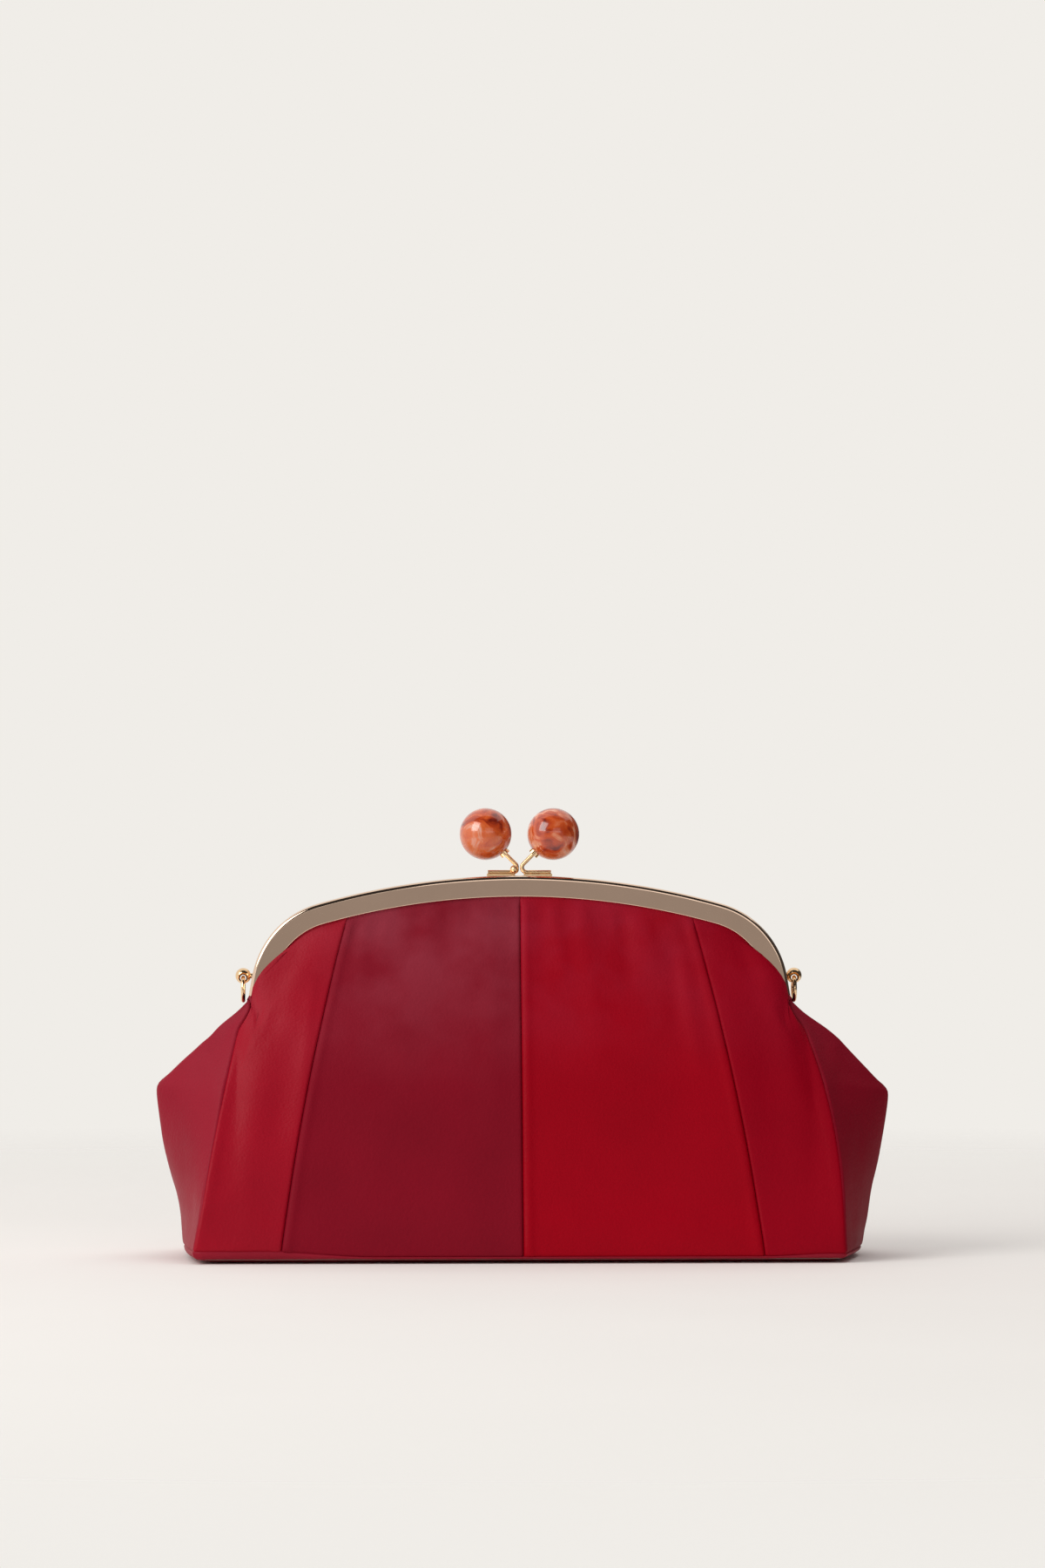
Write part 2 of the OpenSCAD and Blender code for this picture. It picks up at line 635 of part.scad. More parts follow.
base_panel();
base_board();
base_lining();
gusset(-1);  // gusset_left
gusset(1);  // gusset_right
gusset_lining(-1);  // gusset_lining_left
gusset_lining(1);  // gusset_lining_right
patch(lower_side, -1, -1, cherry);  // front_left_side
patch(lower_middle, -1, -1, wine);  // front_left_middle
patch(lower_middle, 1, -1, scarlet);  // front_right_middle
patch(lower_side, 1, -1, poppy);  // front_right_side
patch(lower_side, -1, 1, cherry);  // rear_left_side
patch(lower_middle, -1, 1, wine);  // rear_left_middle
patch(lower_middle, 1, 1, scarlet);  // rear_right_middle
patch(lower_side, 1, 1, poppy);  // rear_right_side
panel_lining(lower_lining, lining_gap, -1);  // front_lining
panel_lining(lower_lining, lining_gap, 1);  // rear_lining
hinge_rivet(-1);  // hinge_rivet_left
hinge_rivet(1);  // hinge_rivet_right
patch(top_side, -1, -1, cherry);  // front_left_side_top
patch(top_middle, -1, -1, wine);  // front_left_middle_top
patch(top_middle, 1, -1, scarlet);  // front_right_middle_top
patch(top_side, 1, -1, poppy);  // front_right_side_top
patch(top_side, -1, 1, cherry);  // rear_left_side_top
patch(top_middle, -1, 1, wine);  // rear_left_middle_top
patch(top_middle, 1, 1, scarlet);  // rear_right_middle_top
patch(top_side, 1, 1, poppy);  // rear_right_side_top
gusset_top(-1, -1);  // gusset_left_front_top
gusset_top(1, -1);  // gusset_right_front_top
gusset_top(-1, 1);  // gusset_left_rear_top
gusset_top(1, 1);  // gusset_right_rear_top
panel_lining(top_lining, sewn_gap, -1);  // front_lining_top
panel_lining(top_lining, sewn_gap, 1);  // rear_lining_top
front_frame();
rear_frame();
channel_cord(-1);  // front_channel_cord
channel_cord(1);  // rear_channel_cord
front_rod();
rear_rod();
ball_cup(-1);  // front_cup
ball_cup(1);  // rear_cup
resin_ball(-1);  // front_ball
resin_ball(1);  // rear_ball
ear(-1);  // ear_left
ear(1);  // ear_right
ring(-1);  // ring_left
ring(1);  // ring_right
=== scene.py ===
# %% [markdown]
# A kiss lock frame purse is a soft leather bag on a stiff arched frame of two halves. The halves
# turn on rivets at the feet of the arch, and two balls on bent rods snap past each other to
# close it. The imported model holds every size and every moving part, so this script starts from
# it and gives each piece its finish: leather, lining, polished metal and marbled resin.

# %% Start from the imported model
import json
import math

import bmesh
import bpy
import numpy as np
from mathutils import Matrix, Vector


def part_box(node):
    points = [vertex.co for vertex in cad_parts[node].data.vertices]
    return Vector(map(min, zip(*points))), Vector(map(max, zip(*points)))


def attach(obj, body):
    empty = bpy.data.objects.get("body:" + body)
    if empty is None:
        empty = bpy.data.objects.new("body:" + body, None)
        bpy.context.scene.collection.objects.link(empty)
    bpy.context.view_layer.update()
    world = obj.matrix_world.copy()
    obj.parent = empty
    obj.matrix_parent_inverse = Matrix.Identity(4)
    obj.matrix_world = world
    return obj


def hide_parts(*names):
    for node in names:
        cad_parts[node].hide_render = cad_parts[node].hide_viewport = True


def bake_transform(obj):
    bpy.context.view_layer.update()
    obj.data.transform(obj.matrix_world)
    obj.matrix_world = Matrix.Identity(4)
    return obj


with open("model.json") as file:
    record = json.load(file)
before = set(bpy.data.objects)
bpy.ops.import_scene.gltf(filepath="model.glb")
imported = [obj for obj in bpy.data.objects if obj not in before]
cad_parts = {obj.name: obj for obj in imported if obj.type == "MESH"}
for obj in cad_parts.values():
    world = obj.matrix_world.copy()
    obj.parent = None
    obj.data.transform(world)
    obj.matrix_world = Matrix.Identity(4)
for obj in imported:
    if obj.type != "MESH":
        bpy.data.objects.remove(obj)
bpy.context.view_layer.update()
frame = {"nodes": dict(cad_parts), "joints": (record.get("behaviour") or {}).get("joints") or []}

MM = 0.001
nodes = frame["nodes"]
joints = {joint["name"]: joint for joint in frame["joints"]}
print("CAD nodes:", len(nodes), "joints:", sorted(joints))

# %% [markdown]
# The leather follows the arch, so the arch comes first. A designer draws it with one compass
# setting for the long crown and a smaller one for each shoulder, and a straight leg below. The
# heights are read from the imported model, and the radii are the ones that the pattern maker
# would write on the drawing. Everything about the bag's shape is in millimetres, and becomes
# metres only when a mesh is made.

# %% The arch: one long arc, two shoulders, two legs
HINGE_Z = joints["front_opening"]["pos_m"][2] / MM
CROWN_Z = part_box("front_frame")[1].z / MM
LEG_END_Z = HINGE_Z - 2.0
ARCH_R = 284.0
ARCH_A = math.radians(15.8)
SHOULDER_R = 35.0
LEG_A = math.radians(80)
FACE_H = 8.0
FACE_LEG_W = 4.6
HALF_DEPTH = 8.0
ARCH_Z = CROWN_Z - ARCH_R
SHOULDER = ((ARCH_R - SHOULDER_R) * math.sin(ARCH_A), ARCH_Z + (ARCH_R - SHOULDER_R) * math.cos(ARCH_A))
LEG_TOP = (SHOULDER[0] + SHOULDER_R * math.sin(LEG_A), SHOULDER[1] + SHOULDER_R * math.cos(LEG_A))
TAPER_A = math.radians(45)


def leg_x(z):
    """Outer side of a leg at height z."""
    return LEG_TOP[0] + (LEG_TOP[1] - z) / math.tan(LEG_A)


taper_from = np.array([SHOULDER[0] + (SHOULDER_R - FACE_H) * math.sin(TAPER_A),
                       SHOULDER[1] + (SHOULDER_R - FACE_H) * math.cos(TAPER_A)])
taper_to = np.array([leg_x(LEG_END_Z) - FACE_LEG_W, LEG_END_Z])
taper_n = np.array([math.sin(TAPER_A), math.cos(TAPER_A)])
taper_step = taper_to - taper_from
TAPER_R = -(taper_step @ taper_step) / (2 * taper_step @ taper_n)
TAPER_C = taper_from - TAPER_R * taper_n


def face_z(x):
    """Height of the lower edge of the frame's face over a distance x from the middle."""
    crown = ARCH_Z + np.sqrt((ARCH_R - FACE_H) ** 2 - x ** 2)
    inside = (SHOULDER_R - FACE_H) ** 2 - (x - SHOULDER[0]) ** 2
    shoulder = SHOULDER[1] + np.sqrt(np.maximum(inside, 0))
    taper = TAPER_C[1] + np.sqrt(np.maximum(TAPER_R ** 2 - (x - TAPER_C[0]) ** 2, 0))
    under = LEG_END_Z - 0.3 + 2.3 * np.clip((x - leg_x(LEG_END_Z) + 1.6) / 2.5, 0, 1)
    crown_end = (ARCH_R - FACE_H) * math.sin(ARCH_A)
    return np.select([x <= crown_end, x <= taper_from[0], x <= taper_to[0]], [crown, shoulder, taper], under)


print("leg end", round(LEG_END_Z, 2), "shoulder middle", [round(v, 2) for v in SHOULDER],
      "taper radius", round(float(TAPER_R), 2))

# %% [markdown]
# The bag is a shell that is cut from flat leather: a front, a rear and a gusset at each side.
# Each panel leans in from the base to the frame, and puffs a little before it does. A gusset is
# folded outwards below its tip, and above it the middle folds inwards, so that the bag can open.
# One function gives a point of this shell for a place round the bag and a place up it, and all
# leather and all lining is later cut from it, which keeps every seam closed.

# %% Measures of the bag
LEATHER_T = 1.2
LEATHER_Y = HALF_DEPTH - 1.1
base_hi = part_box("base_panel")[1]
BASE_Y = base_hi.y / MM
GUSSET_OUT = 7.2
BASE_X = base_hi.x / MM - GUSSET_OUT
TIP_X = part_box("gusset_right")[1].x / MM
TIP_Z = 66.0
PUFF = 1.5
PATCH_BASE, PATCH_TOP, PATCH_BOW = 91.2, 61.5, 3.4
FOOT_Z = 2.6
SEAM_END_Z = LEG_END_Z - 0.25
SEAM_TOP_X = leg_x(HINGE_Z) + 1.1
RIDGE_TOP = np.array([leg_x(LEG_END_Z) + 1.5, -8.8, LEG_END_Z + 0.2])
VALLEY_TOP = np.array([leg_x(LEG_END_Z) + 1.0, 0.0, 87.5])
FOLD_SOFT = 0.1
TIP_ROUND = 2.2


def lerp(a, b, t):
    return a + (b - a) * t


def smooth(t):
    t = np.clip(t, 0, 1)
    return t * t * (3 - 2 * t)


def rising(value, zero_at, one_at):
    """A soft climb from 0 to 1 between two values, and level beyond them."""
    return smooth((value - zero_at) / (one_at - zero_at))


def seam_x(z):
    """Side seam between a panel and its gusset."""
    return lerp(BASE_X, SEAM_TOP_X, z / HINGE_Z)


def patch_x(z):
    """Seam between the middle and the side patch."""
    t = z / CROWN_Z
    return lerp(PATCH_BASE, PATCH_TOP, t) + 4 * PATCH_BOW * t * (1 - t)


# From this far out the leather forgets the foot of the leg, within a few mm below its edge
SOFT_FROM_X = 78.0
SOFT_OVER = 16
SOFT_TOP_Z = 96
SOFT_FROM_Z = float(face_z(np.array([SOFT_FROM_X]))[0])


def panel_y(x, z):
    """How far in front of the middle the panel's outer surface is. Near the frame the leather
    follows the face's edge, and further down it has no memory of the foot of the leg."""
    x = np.abs(x)
    edge = face_z(x)
    share = np.clip((x - SOFT_FROM_X) / (SEAM_TOP_X - SOFT_FROM_X), 0, 1.4)
    relaxed = np.where(x > SOFT_FROM_X, SOFT_FROM_Z - (SOFT_FROM_Z - SEAM_END_Z) * share ** 1.5, edge)
    away = smooth((edge - z) / SOFT_OVER)
    low_edge = np.maximum(relaxed, SOFT_TOP_Z)
    reach = lerp(np.minimum(z / edge, 1) ** PUFF, np.minimum(z / low_edge, 1) ** PUFF, away)
    return -LEATHER_Y - (BASE_Y - LEATHER_Y) * (1 - reach)


# The face's lower edge, as a line that can be walked at an even pace
edge_x = np.concatenate([np.linspace(0, taper_to[0], 600), [SEAM_TOP_X + 0.2]])
edge_z = np.concatenate([face_z(edge_x[:-1]), [SEAM_END_Z]])
edge_walk = np.concatenate([[0], np.cumsum(np.hypot(np.diff(edge_x), np.diff(edge_z)))])
patch_walk = edge_walk[np.argmax(edge_x - patch_x(edge_z) > 0)]
PATCH_EDGE_X = float(np.interp(patch_walk, edge_walk, edge_x))
U_PATCH = PATCH_BASE / BASE_X


def coons(left, right, bottom, top, s, t):
    """A sheet that fills four edges. Each edge is a function that gives x and z."""
    out = []
    for k in range(2):
        sides = lerp(left(t)[k], right(t)[k], s) + lerp(bottom(s)[k], top(s)[k], t)
        zero, one = np.zeros(1), np.ones(1)
        corners = lerp(lerp(bottom(zero)[k], bottom(one)[k], s), lerp(top(zero)[k], top(one)[k], s), t)
        out.append(sides - corners)
    return out


def walk(start, end, s):
    along = lerp(start, end, s)
    return np.interp(along, edge_walk, edge_x), np.interp(along, edge_walk, edge_z)


def climb(line_x, z_end, t):
    z = lerp(FOOT_Z, z_end, t)
    return line_x(z), z


PATCH_END_Z = float(face_z(np.array([PATCH_EDGE_X]))[0])
MID_END_Z = CROWN_Z - FACE_H


def panel(u, t):
    """Right half of the front: u from the middle to the side seam, t from the base to the frame."""
    middle = coons(lambda t: (0 * t, lerp(FOOT_Z, MID_END_Z, t)),
                   lambda t: climb(patch_x, PATCH_END_Z, t),
                   lambda s: (patch_x(FOOT_Z) * s, FOOT_Z + 0 * s),
                   lambda s: walk(0, patch_walk, s),
                   np.minimum(u / U_PATCH, 1), t)
    side = coons(lambda t: climb(patch_x, PATCH_END_Z, t),
                 lambda t: climb(seam_x, SEAM_END_Z, t),
                 lambda s: (lerp(patch_x(FOOT_Z), seam_x(FOOT_Z), s), FOOT_Z + 0 * s),
                 lambda s: walk(patch_walk, edge_walk[-1], s),
                 np.clip((u - U_PATCH) / (1 - U_PATCH), 0, 1), t)
    x = np.where(u <= U_PATCH, middle[0], side[0])
    z = np.where(u <= U_PATCH, middle[1], side[1])
    return np.stack([x, panel_y(x, z), z], axis=-1)


TURN_LOW, TURN_HIGH, TURN_SOFT = 0.94, 0.62, 0.11
GUSSET_SWELL, TIP_BLUNT = 1.5, 1.3


def gusset(h, t):
    """Front half of the right gusset: h from the seam to the fold, t from the base to the leg.
    Above the tip the sheet turns inwards at a share of its width, which falls from TURN_LOW to
    TURN_HIGH."""
    z = lerp(FOOT_Z, SEAM_END_Z, t)
    sx = seam_x(z)
    seam = np.stack([sx, panel_y(sx, z), z], axis=-1)
    up = np.clip((z - TIP_Z) / (SEAM_END_Z - TIP_Z), 0, 1)[..., None]
    fold_x = lerp(BASE_X + GUSSET_OUT, TIP_X - 0.6, np.minimum(z / TIP_Z, 1) ** 1.08)
    low_fold = np.stack([fold_x, 0 * z, np.minimum(z, TIP_Z)], axis=-1)
    ridge = lerp(np.array([TIP_X - 0.6, -1.5, TIP_Z]), RIDGE_TOP, up)
    valley = lerp(np.array([TIP_X - 0.2, 0.0, TIP_Z - 0.4]), VALLEY_TOP, up)
    high_fold = np.where(up > 0, ridge * np.array([1, 0, 1]), low_fold)

    q = (1 - h)[..., None]
    soft = (np.sqrt(q * q + FOLD_SOFT ** 2) - FOLD_SOFT) / (math.sqrt(1 + FOLD_SOFT ** 2) - FOLD_SOFT)
    straight = lerp(high_fold, seam, q)
    round_fold = straight.copy()
    round_fold[..., 0:1] = lerp(high_fold[..., 0:1], seam[..., 0:1], soft)

    turn = lerp(TURN_LOW, TURN_HIGH, up)
    past = h[..., None] - turn
    bent = (past + TURN_SOFT) ** 2 / (4 * TURN_SOFT)
    eased = np.where(past > TURN_SOFT, past, np.where(past < -TURN_SOFT, 0, bent))
    pleat = seam + (ridge - seam) * (h[..., None] - eased) / turn + (valley - ridge) * eased / (1 - turn)
    point = lerp(round_fold, pleat, smooth(up / 0.22))
    by_height = 0.4 + 0.6 * np.sin(np.pi * np.clip(t * 1.3, 0, 1))
    swell = GUSSET_SWELL * (1 - up[..., 0]) * np.sin(np.pi * h) * by_height
    from_tip = (z - TIP_Z) / TIP_ROUND
    blunt = TIP_BLUNT * (np.sqrt(from_tip ** 2 + 1) - np.abs(from_tip)) * h ** 3
    point[..., 0] += swell - blunt
    return point


LIFT_LEFT, LIFT_RIGHT = 2.1, 0.9


def base_seam_lift(x):
    """The seam at the base climbs at the corners, more on the left, where the base shows."""
    return LIFT_LEFT * rising(-x, 55, 100) + LIFT_RIGHT * rising(x, 92, 117)


BOW_RIGHT, BOW_LEFT = 5.3, -1.4
FOOT_OUT_LEFT = -2.6
FOLD_IN_LEFT, FOLD_OUT_RIGHT, FOLD_IN_HIGH = 3.6, 2.0, 3.0
TIP_OUT_RIGHT, TIP_IN_LEFT, TIP_DROP = 3.0, 0.8, 2.4
CORNER_IN = 2.8


def stance(point):
    """How the filled bag stands off its pattern: its side seams bow, its left foot and its right
    tip reach a little further, and the right tip hangs a little lower. Each measure is in mm, and
    each rising() says where on the bag it fades in."""
    x, y, z = point[..., 0], point[..., 1], point[..., 2]
    by_seam = np.clip(np.abs(y) / -panel_y(seam_x(z), z), 0, 1)
    left, right = rising(-x, 90, 110), rising(x, 90, 110)
    bow = np.sin(np.pi * np.clip(z / SEAM_END_Z, 0, 1) ** 1.15) * by_seam
    foot = FOOT_OUT_LEFT * rising(-x, 93, 121) * np.clip(1 - z / 105, 0, 1)
    folds = (FOLD_IN_LEFT * left * rising(z, 48, 14) + FOLD_OUT_RIGHT * right * rising(z, 30, 10)
             + FOLD_IN_HIGH * left * np.exp(-((z - 85) / 6) ** 2)) * (1 - by_seam)
    tips = TIP_OUT_RIGHT * rising(x, 112, 138) * rising(z, 0, 40)
    tips = tips + TIP_IN_LEFT * rising(-x, 116, 138) * rising(z, 0, 50)
    # The corner under the leg's foot stays inside the foot, clear of the loose ring
    corner = -CORNER_IN * np.sign(x) * rising(np.abs(x), 99, 103) * rising(z, 86, 95)
    moved = point.copy()
    moved[..., 0] += foot + folds + tips + corner + (BOW_RIGHT * right + BOW_LEFT * left) * bow
    moved[..., 2] -= TIP_DROP * rising(x, 118, 136) * rising(z, 20, 60)
    return moved


def shell(c, t):
    """Outer surface: c is 0 to 1 over the front, to 2 over the right gusset, to 3 over the rear."""
    c, t = np.broadcast_arrays(np.asarray(c, float) % 4, np.asarray(t, float))
    side = np.floor(c)
    f = c - side
    is_panel = (side % 2) == 0
    flat = panel(np.abs(2 * f - 1), t)
    folded = gusset(1 - np.abs(2 * f - 1), t)
    point = np.where(is_panel[..., None], flat, folded)
    half = np.sign(f - 0.5)
    flip_x = np.where(is_panel, half * np.where(side == 0, 1, -1), np.where(side == 1, 1, -1))
    flip_y = np.where(is_panel, np.where(side == 0, 1, -1), -half * np.where(side == 1, 1, -1))
    point[..., 0] *= np.where(flip_x == 0, 1, flip_x)
    point[..., 1] *= np.where(flip_y == 0, 1, flip_y)
    point[..., 2] += base_seam_lift(point[..., 0]) * (1 - t) ** 8
    return stance(point)


half_way_up = shell(np.linspace(0, 4, 9), 0.5)
print("shell at half height, mm:", np.round(half_way_up, 1).tolist()[:3])

# %% [markdown]
# Leather that hangs from a frame isn't a perfect surface: it is cut a little generously, so it
# sags and swells between the channel and the base. A cloth simulation gives that for free. The
# whole shell is simulated as one coarse sheet, held at the frame and at the base seam, with
# slight pressure from inside. Only the difference from the drawn shape is kept, and every piece
# reads it, so neighbours stay together.

# %% Mesh helpers
scene = bpy.context.scene


def link(name, mesh):
    """A finished object at the origin, with its place in its mesh."""
    obj = bpy.data.objects.new(name, mesh)
    scene.collection.objects.link(obj)
    return obj


WELD = 0.002


def grid_object(name, points, wrap=False, caps=False):
    """A grid whose corners go to the given places, in mm: rows up, columns to the right."""
    rows, cols = points.shape[:2]
    bm = bmesh.new()
    uv_map = bm.loops.layers.uv.new("cut")
    bmesh.ops.create_grid(bm, x_segments=cols - 1, y_segments=rows - 1, size=0.5, calc_uvs=True)
    wide = float(np.linalg.norm(np.diff(points[rows // 2], axis=0), axis=-1).sum()) * MM
    tall = float(np.linalg.norm(np.diff(points[:, cols // 2], axis=0), axis=-1).sum()) * MM
    for face in bm.faces:
        face.smooth = True
        for corner in face.loops:
            corner[uv_map].uv = (corner[uv_map].uv.x * wide, corner[uv_map].uv.y * tall)
    for vertex in bm.verts:
        i = round((vertex.co.y + 0.5) * (rows - 1))
        j = round((vertex.co.x + 0.5) * (cols - 1))
        vertex.co = Vector(points[i, j]) * MM
    if wrap:
        bmesh.ops.remove_doubles(bm, verts=bm.verts, dist=WELD * MM)
    if caps:
        bmesh.ops.holes_fill(bm, edges=[e for e in bm.edges if e.is_boundary], sides=0)
    mesh = bpy.data.meshes.new(name)
    bm.to_mesh(mesh)
    bm.free()
    return link(name, mesh)


def settle(obj):
    """Makes the result of the modifiers the object's own mesh."""
    graph = bpy.context.evaluated_depsgraph_get()
    made = bpy.data.meshes.new_from_object(obj.evaluated_get(graph), depsgraph=graph)
    old = obj.data
    obj.modifiers.clear()
    obj.data = made
    made.name = obj.name
    bpy.data.meshes.remove(old)


def thicken(obj, thickness):
    """Gives a sheet its thickness on the inside."""
    solid = obj.modifiers.new("thickness", "SOLIDIFY")
    solid.thickness = thickness * MM
    solid.offset = -1
    settle(obj)


# %% The whole shell as one coarse sheet, simulated
PANEL_COLS, GUSSET_COLS, CLOTH_ROWS = 46, 16, 26
SIM_FRAMES = 24
SAG_CAP = 3.2
SEAM_HOLD, SEAM_HOLD_WIDTH = 0.9, 0.09
GUSSET_SHARE = 0.2

around = np.concatenate([side + np.arange(n) / n for side, n in
                         enumerate([PANEL_COLS, GUSSET_COLS, PANEL_COLS, GUSSET_COLS])])
around = np.append(around, 4.0)
upward = np.linspace(0, 1, CLOTH_ROWS)
drawn = shell(around[None, :], upward[:, None])
sag = np.zeros_like(drawn)


def hang(points):
    """Lets the sheet settle, and returns how far each point has moved, in mm."""
    cloth = grid_object("Hanging_sheet", points, wrap=True)
    places = np.array([v.co[:] for v in cloth.data.vertices])
    flat_points = points.reshape(-1, 3) * MM
    nearest = [int(np.argmin(((places - p) ** 2).sum(1))) for p in flat_points]
    held = cloth.vertex_groups.new(name="held")
    rows, cols = points.shape[:2]
    edges = {nearest[i * cols + j] for i in (0, rows - 1) for j in range(cols)}
    held.add(sorted(edges), 1.0, "REPLACE")
    hanging = cloth.modifiers.new("hang", "CLOTH")
    leather_feel = hanging.settings
    leather_feel.quality = 8
    leather_feel.mass = 0.3
    leather_feel.tension_stiffness = 40
    leather_feel.compression_stiffness = 40
    leather_feel.shear_stiffness = 25
    leather_feel.bending_stiffness = 8
    leather_feel.shrink_min = -0.006
    leather_feel.vertex_group_mass = "held"
    leather_feel.use_pressure = True
    leather_feel.uniform_pressure_force = 0.35
    hanging.collision_settings.use_collision = False
    for number in range(1, SIM_FRAMES + 1):
        scene.frame_set(number)
    graph = bpy.context.evaluated_depsgraph_get()
    settled = cloth.evaluated_get(graph).to_mesh()
    moved = np.array([v.co[:] for v in settled.vertices]) - places
    bpy.data.objects.remove(cloth)
    scene.frame_set(1)
    return (moved[nearest] / MM).reshape(points.shape)


sag = hang(drawn)
reach = np.linalg.norm(sag, axis=-1, keepdims=True)
sag = sag * (SAG_CAP * np.tanh(reach / SAG_CAP) / np.maximum(reach, 1e-6))
# The side seams and the base seam are stiff with their allowances, and so are the gussets
from_seam = np.abs(around - np.round(around))
panel_share = 1 - SEAM_HOLD * np.exp(-(from_seam / SEAM_HOLD_WIDTH) ** 2)
across_share = np.where(np.floor(around % 4) % 2 == 0, panel_share, GUSSET_SHARE * panel_share)
sag = sag * across_share[None, :, None] * rising(upward, 0, 0.2)[:, None, None]
print("sheet settled, most it moved before the cap, mm:", round(float(reach.max()), 2))


def spline_weights(f):
    return np.stack([-0.5 * f + f ** 2 - 0.5 * f ** 3, 1 - 2.5 * f ** 2 + 1.5 * f ** 3,
                     0.5 * f + 2 * f ** 2 - 1.5 * f ** 3, -0.5 * f ** 2 + 0.5 * f ** 3])


def sag_at(c, t):
    """Movement of the settled sheet at any place, read along smooth curves."""
    c, t = np.broadcast_arrays(np.asarray(c, float) % 4, np.asarray(t, float))
    across = np.interp(c, around, np.arange(len(around)))
    up = np.clip(t, 0, 1) * (CLOTH_ROWS - 1)
    j, i = np.floor(across).astype(int), np.minimum(np.floor(up).astype(int), CLOTH_ROWS - 2)
    wj, wi = spline_weights(across - j), spline_weights(up - i)
    total = np.zeros(c.shape + (3,))
    for a in range(4):
        for b in range(4):
            row = np.clip(i + a - 1, 0, CLOTH_ROWS - 1)
            col = (j + b - 1) % (len(around) - 1)
            total += (wi[a] * wj[b])[..., None] * sag[row, col]
    return total


# %% [markdown]
# Soft folds are what tell leather from plastic. Where the leather is gathered into the channel
# and beside the slanting seams it lies in long shallow ridges and hollows, less than a
# millimetre high. Each is one stroke: where it starts and ends on the panel, how wide it is and
# how high. They are added to the shell along its normal.

# %% Soft folds: start x z, end x z, half width, height, all in mm
FRONT_FOLDS = [
    (-59, 127, -61, 106, 3.2, 0.45), (-54, 82, -50, 62, 7.0, -0.5), (-10, 132, -11, 58, 5.0, 0.5),
    (-28, 130, -30, 92, 6.0, -0.35), (-98, 92, -106, 14, 6.5, 0.7), (-88, 84, -93, 48, 5.0, -0.6),
    (-79, 106, -83, 70, 2.2, 0.35), (-84, 110, -92, 96, 4.0, 0.5), (-110, 66, -113, 30, 3.5, -0.4),
    (13, 135, 16, 108, 2.6, 0.5), (8, 133, 8, 104, 2.0, -0.25), (24, 134, 29, 84, 5.0, 0.5),
    (48, 131, 50, 110, 5.0, 0.6), (39, 132, 41, 104, 3.4, -0.5), (62, 112, 67, 76, 3.0, 0.6),
    (58, 118, 59, 88, 3.0, -0.4), (74, 118, 79, 92, 4.0, 0.5), (88, 117, 94, 104, 2.6, 0.6),
    (83, 120, 89, 106, 2.2, -0.45), (96, 104, 106, 60, 4.5, 0.55), (92, 80, 98, 34, 5.0, -0.45),
    (30, 40, 60, 30, 12.0, -0.4), (-60, 34, -20, 28, 14.0, 0.4),
]
REAR_FOLDS = [
    (20, 132, 22, 96, 4.0, 0.5), (-24, 132, -26, 88, 5.0, 0.5), (-8, 130, -9, 96, 3.0, -0.35),
    (52, 128, 56, 96, 4.0, -0.4), (84, 112, 94, 70, 5.0, 0.6), (-50, 129, -52, 104, 4.0, 0.5),
    (-80, 108, -88, 66, 4.0, 0.6), (-90, 96, -102, 40, 6.0, -0.5), (-62, 110, -67, 74, 3.0, 0.5),
    (40, 44, 70, 36, 12.0, 0.4), (-70, 40, -30, 30, 14.0, -0.4), (98, 90, 108, 34, 5.0, -0.5),
]
GUSSET_FOLDS = [(126, 58, 120, 22, 3.4, 0.2), (122, 84, 114, 60, 3.0, 0.3), (130, 50, 127, 24, 3.0, -0.15)]


def fold_height(x, z, folds):
    """Sum of the strokes at a place on the panel, in mm."""
    total = np.zeros_like(x)
    for x0, z0, x1, z1, half_width, height in folds:
        run = np.array([x1 - x0, z1 - z0], float)
        length = float(np.hypot(*run))
        run /= length
        along = ((x - x0) * run[0] + (z - z0) * run[1]) / length
        off = (x - x0) * run[1] - (z - z0) * run[0]
        fade = rising(along, -0.25, 0.2) * rising(along, 1.3, 0.8)
        total += height * np.exp(-(off / half_width) ** 2) * fade
    return total


# %% [markdown]
# A leather seam here is a turned seam: the two pieces are sewn face to face and opened out, so
# each edge rolls in with a small radius and the pair meets in a fine dark valley. The side that
# carries both seam allowances stands up in a soft lip, which catches the light. The columns of
# each grid are set closer together near its seams, so that the roll is real geometry.

# %% Turned edges
ROLL_R = 1.25
EDGE_STEPS = np.array([0, 0.05, 0.16, 0.34, 0.58, 0.88, 1.25, 1.7, 2.3, 3.0, 3.9, 5.0, 6.4])


def rolled(d):
    """How far a turned edge drops, d mm from the seam."""
    inside = np.clip(ROLL_R - d, 0, ROLL_R)
    return np.sqrt(np.maximum(ROLL_R ** 2 - inside ** 2, 0)) - ROLL_R


def lip(d, height):
    return height * np.exp(-((d - 2.4) / 1.5) ** 2)


def pucker(d, along):
    """The stitches pull the edge in a little, every few millimetres."""
    wave = np.sin(along * 2 * np.pi / 2.7) + 0.6 * np.sin(along * 2 * np.pi / 4.3 + 1.0)
    return 0.035 * wave * np.exp(-(d / 2.2) ** 2)


def steps_between(width, pitch, fine_start=True, fine_end=True):
    """Places from 0 to 1 over a width in mm, closer together at fine ends."""
    near = EDGE_STEPS / width
    start = near if fine_start else np.array([0.0])
    end = 1 - near[::-1] if fine_end else np.array([1.0])
    count = max(2, int(round((end[0] - start[-1]) * width / pitch)))
    return np.concatenate([start[:-1], np.linspace(start[-1], end[0], count + 1), end[1:]])


def row_normals(points):
    across = np.gradient(points, axis=1)
    up = np.gradient(points, axis=0)
    normal = np.cross(across, up)
    return normal / np.maximum(np.linalg.norm(normal, axis=-1, keepdims=True), 1e-9)


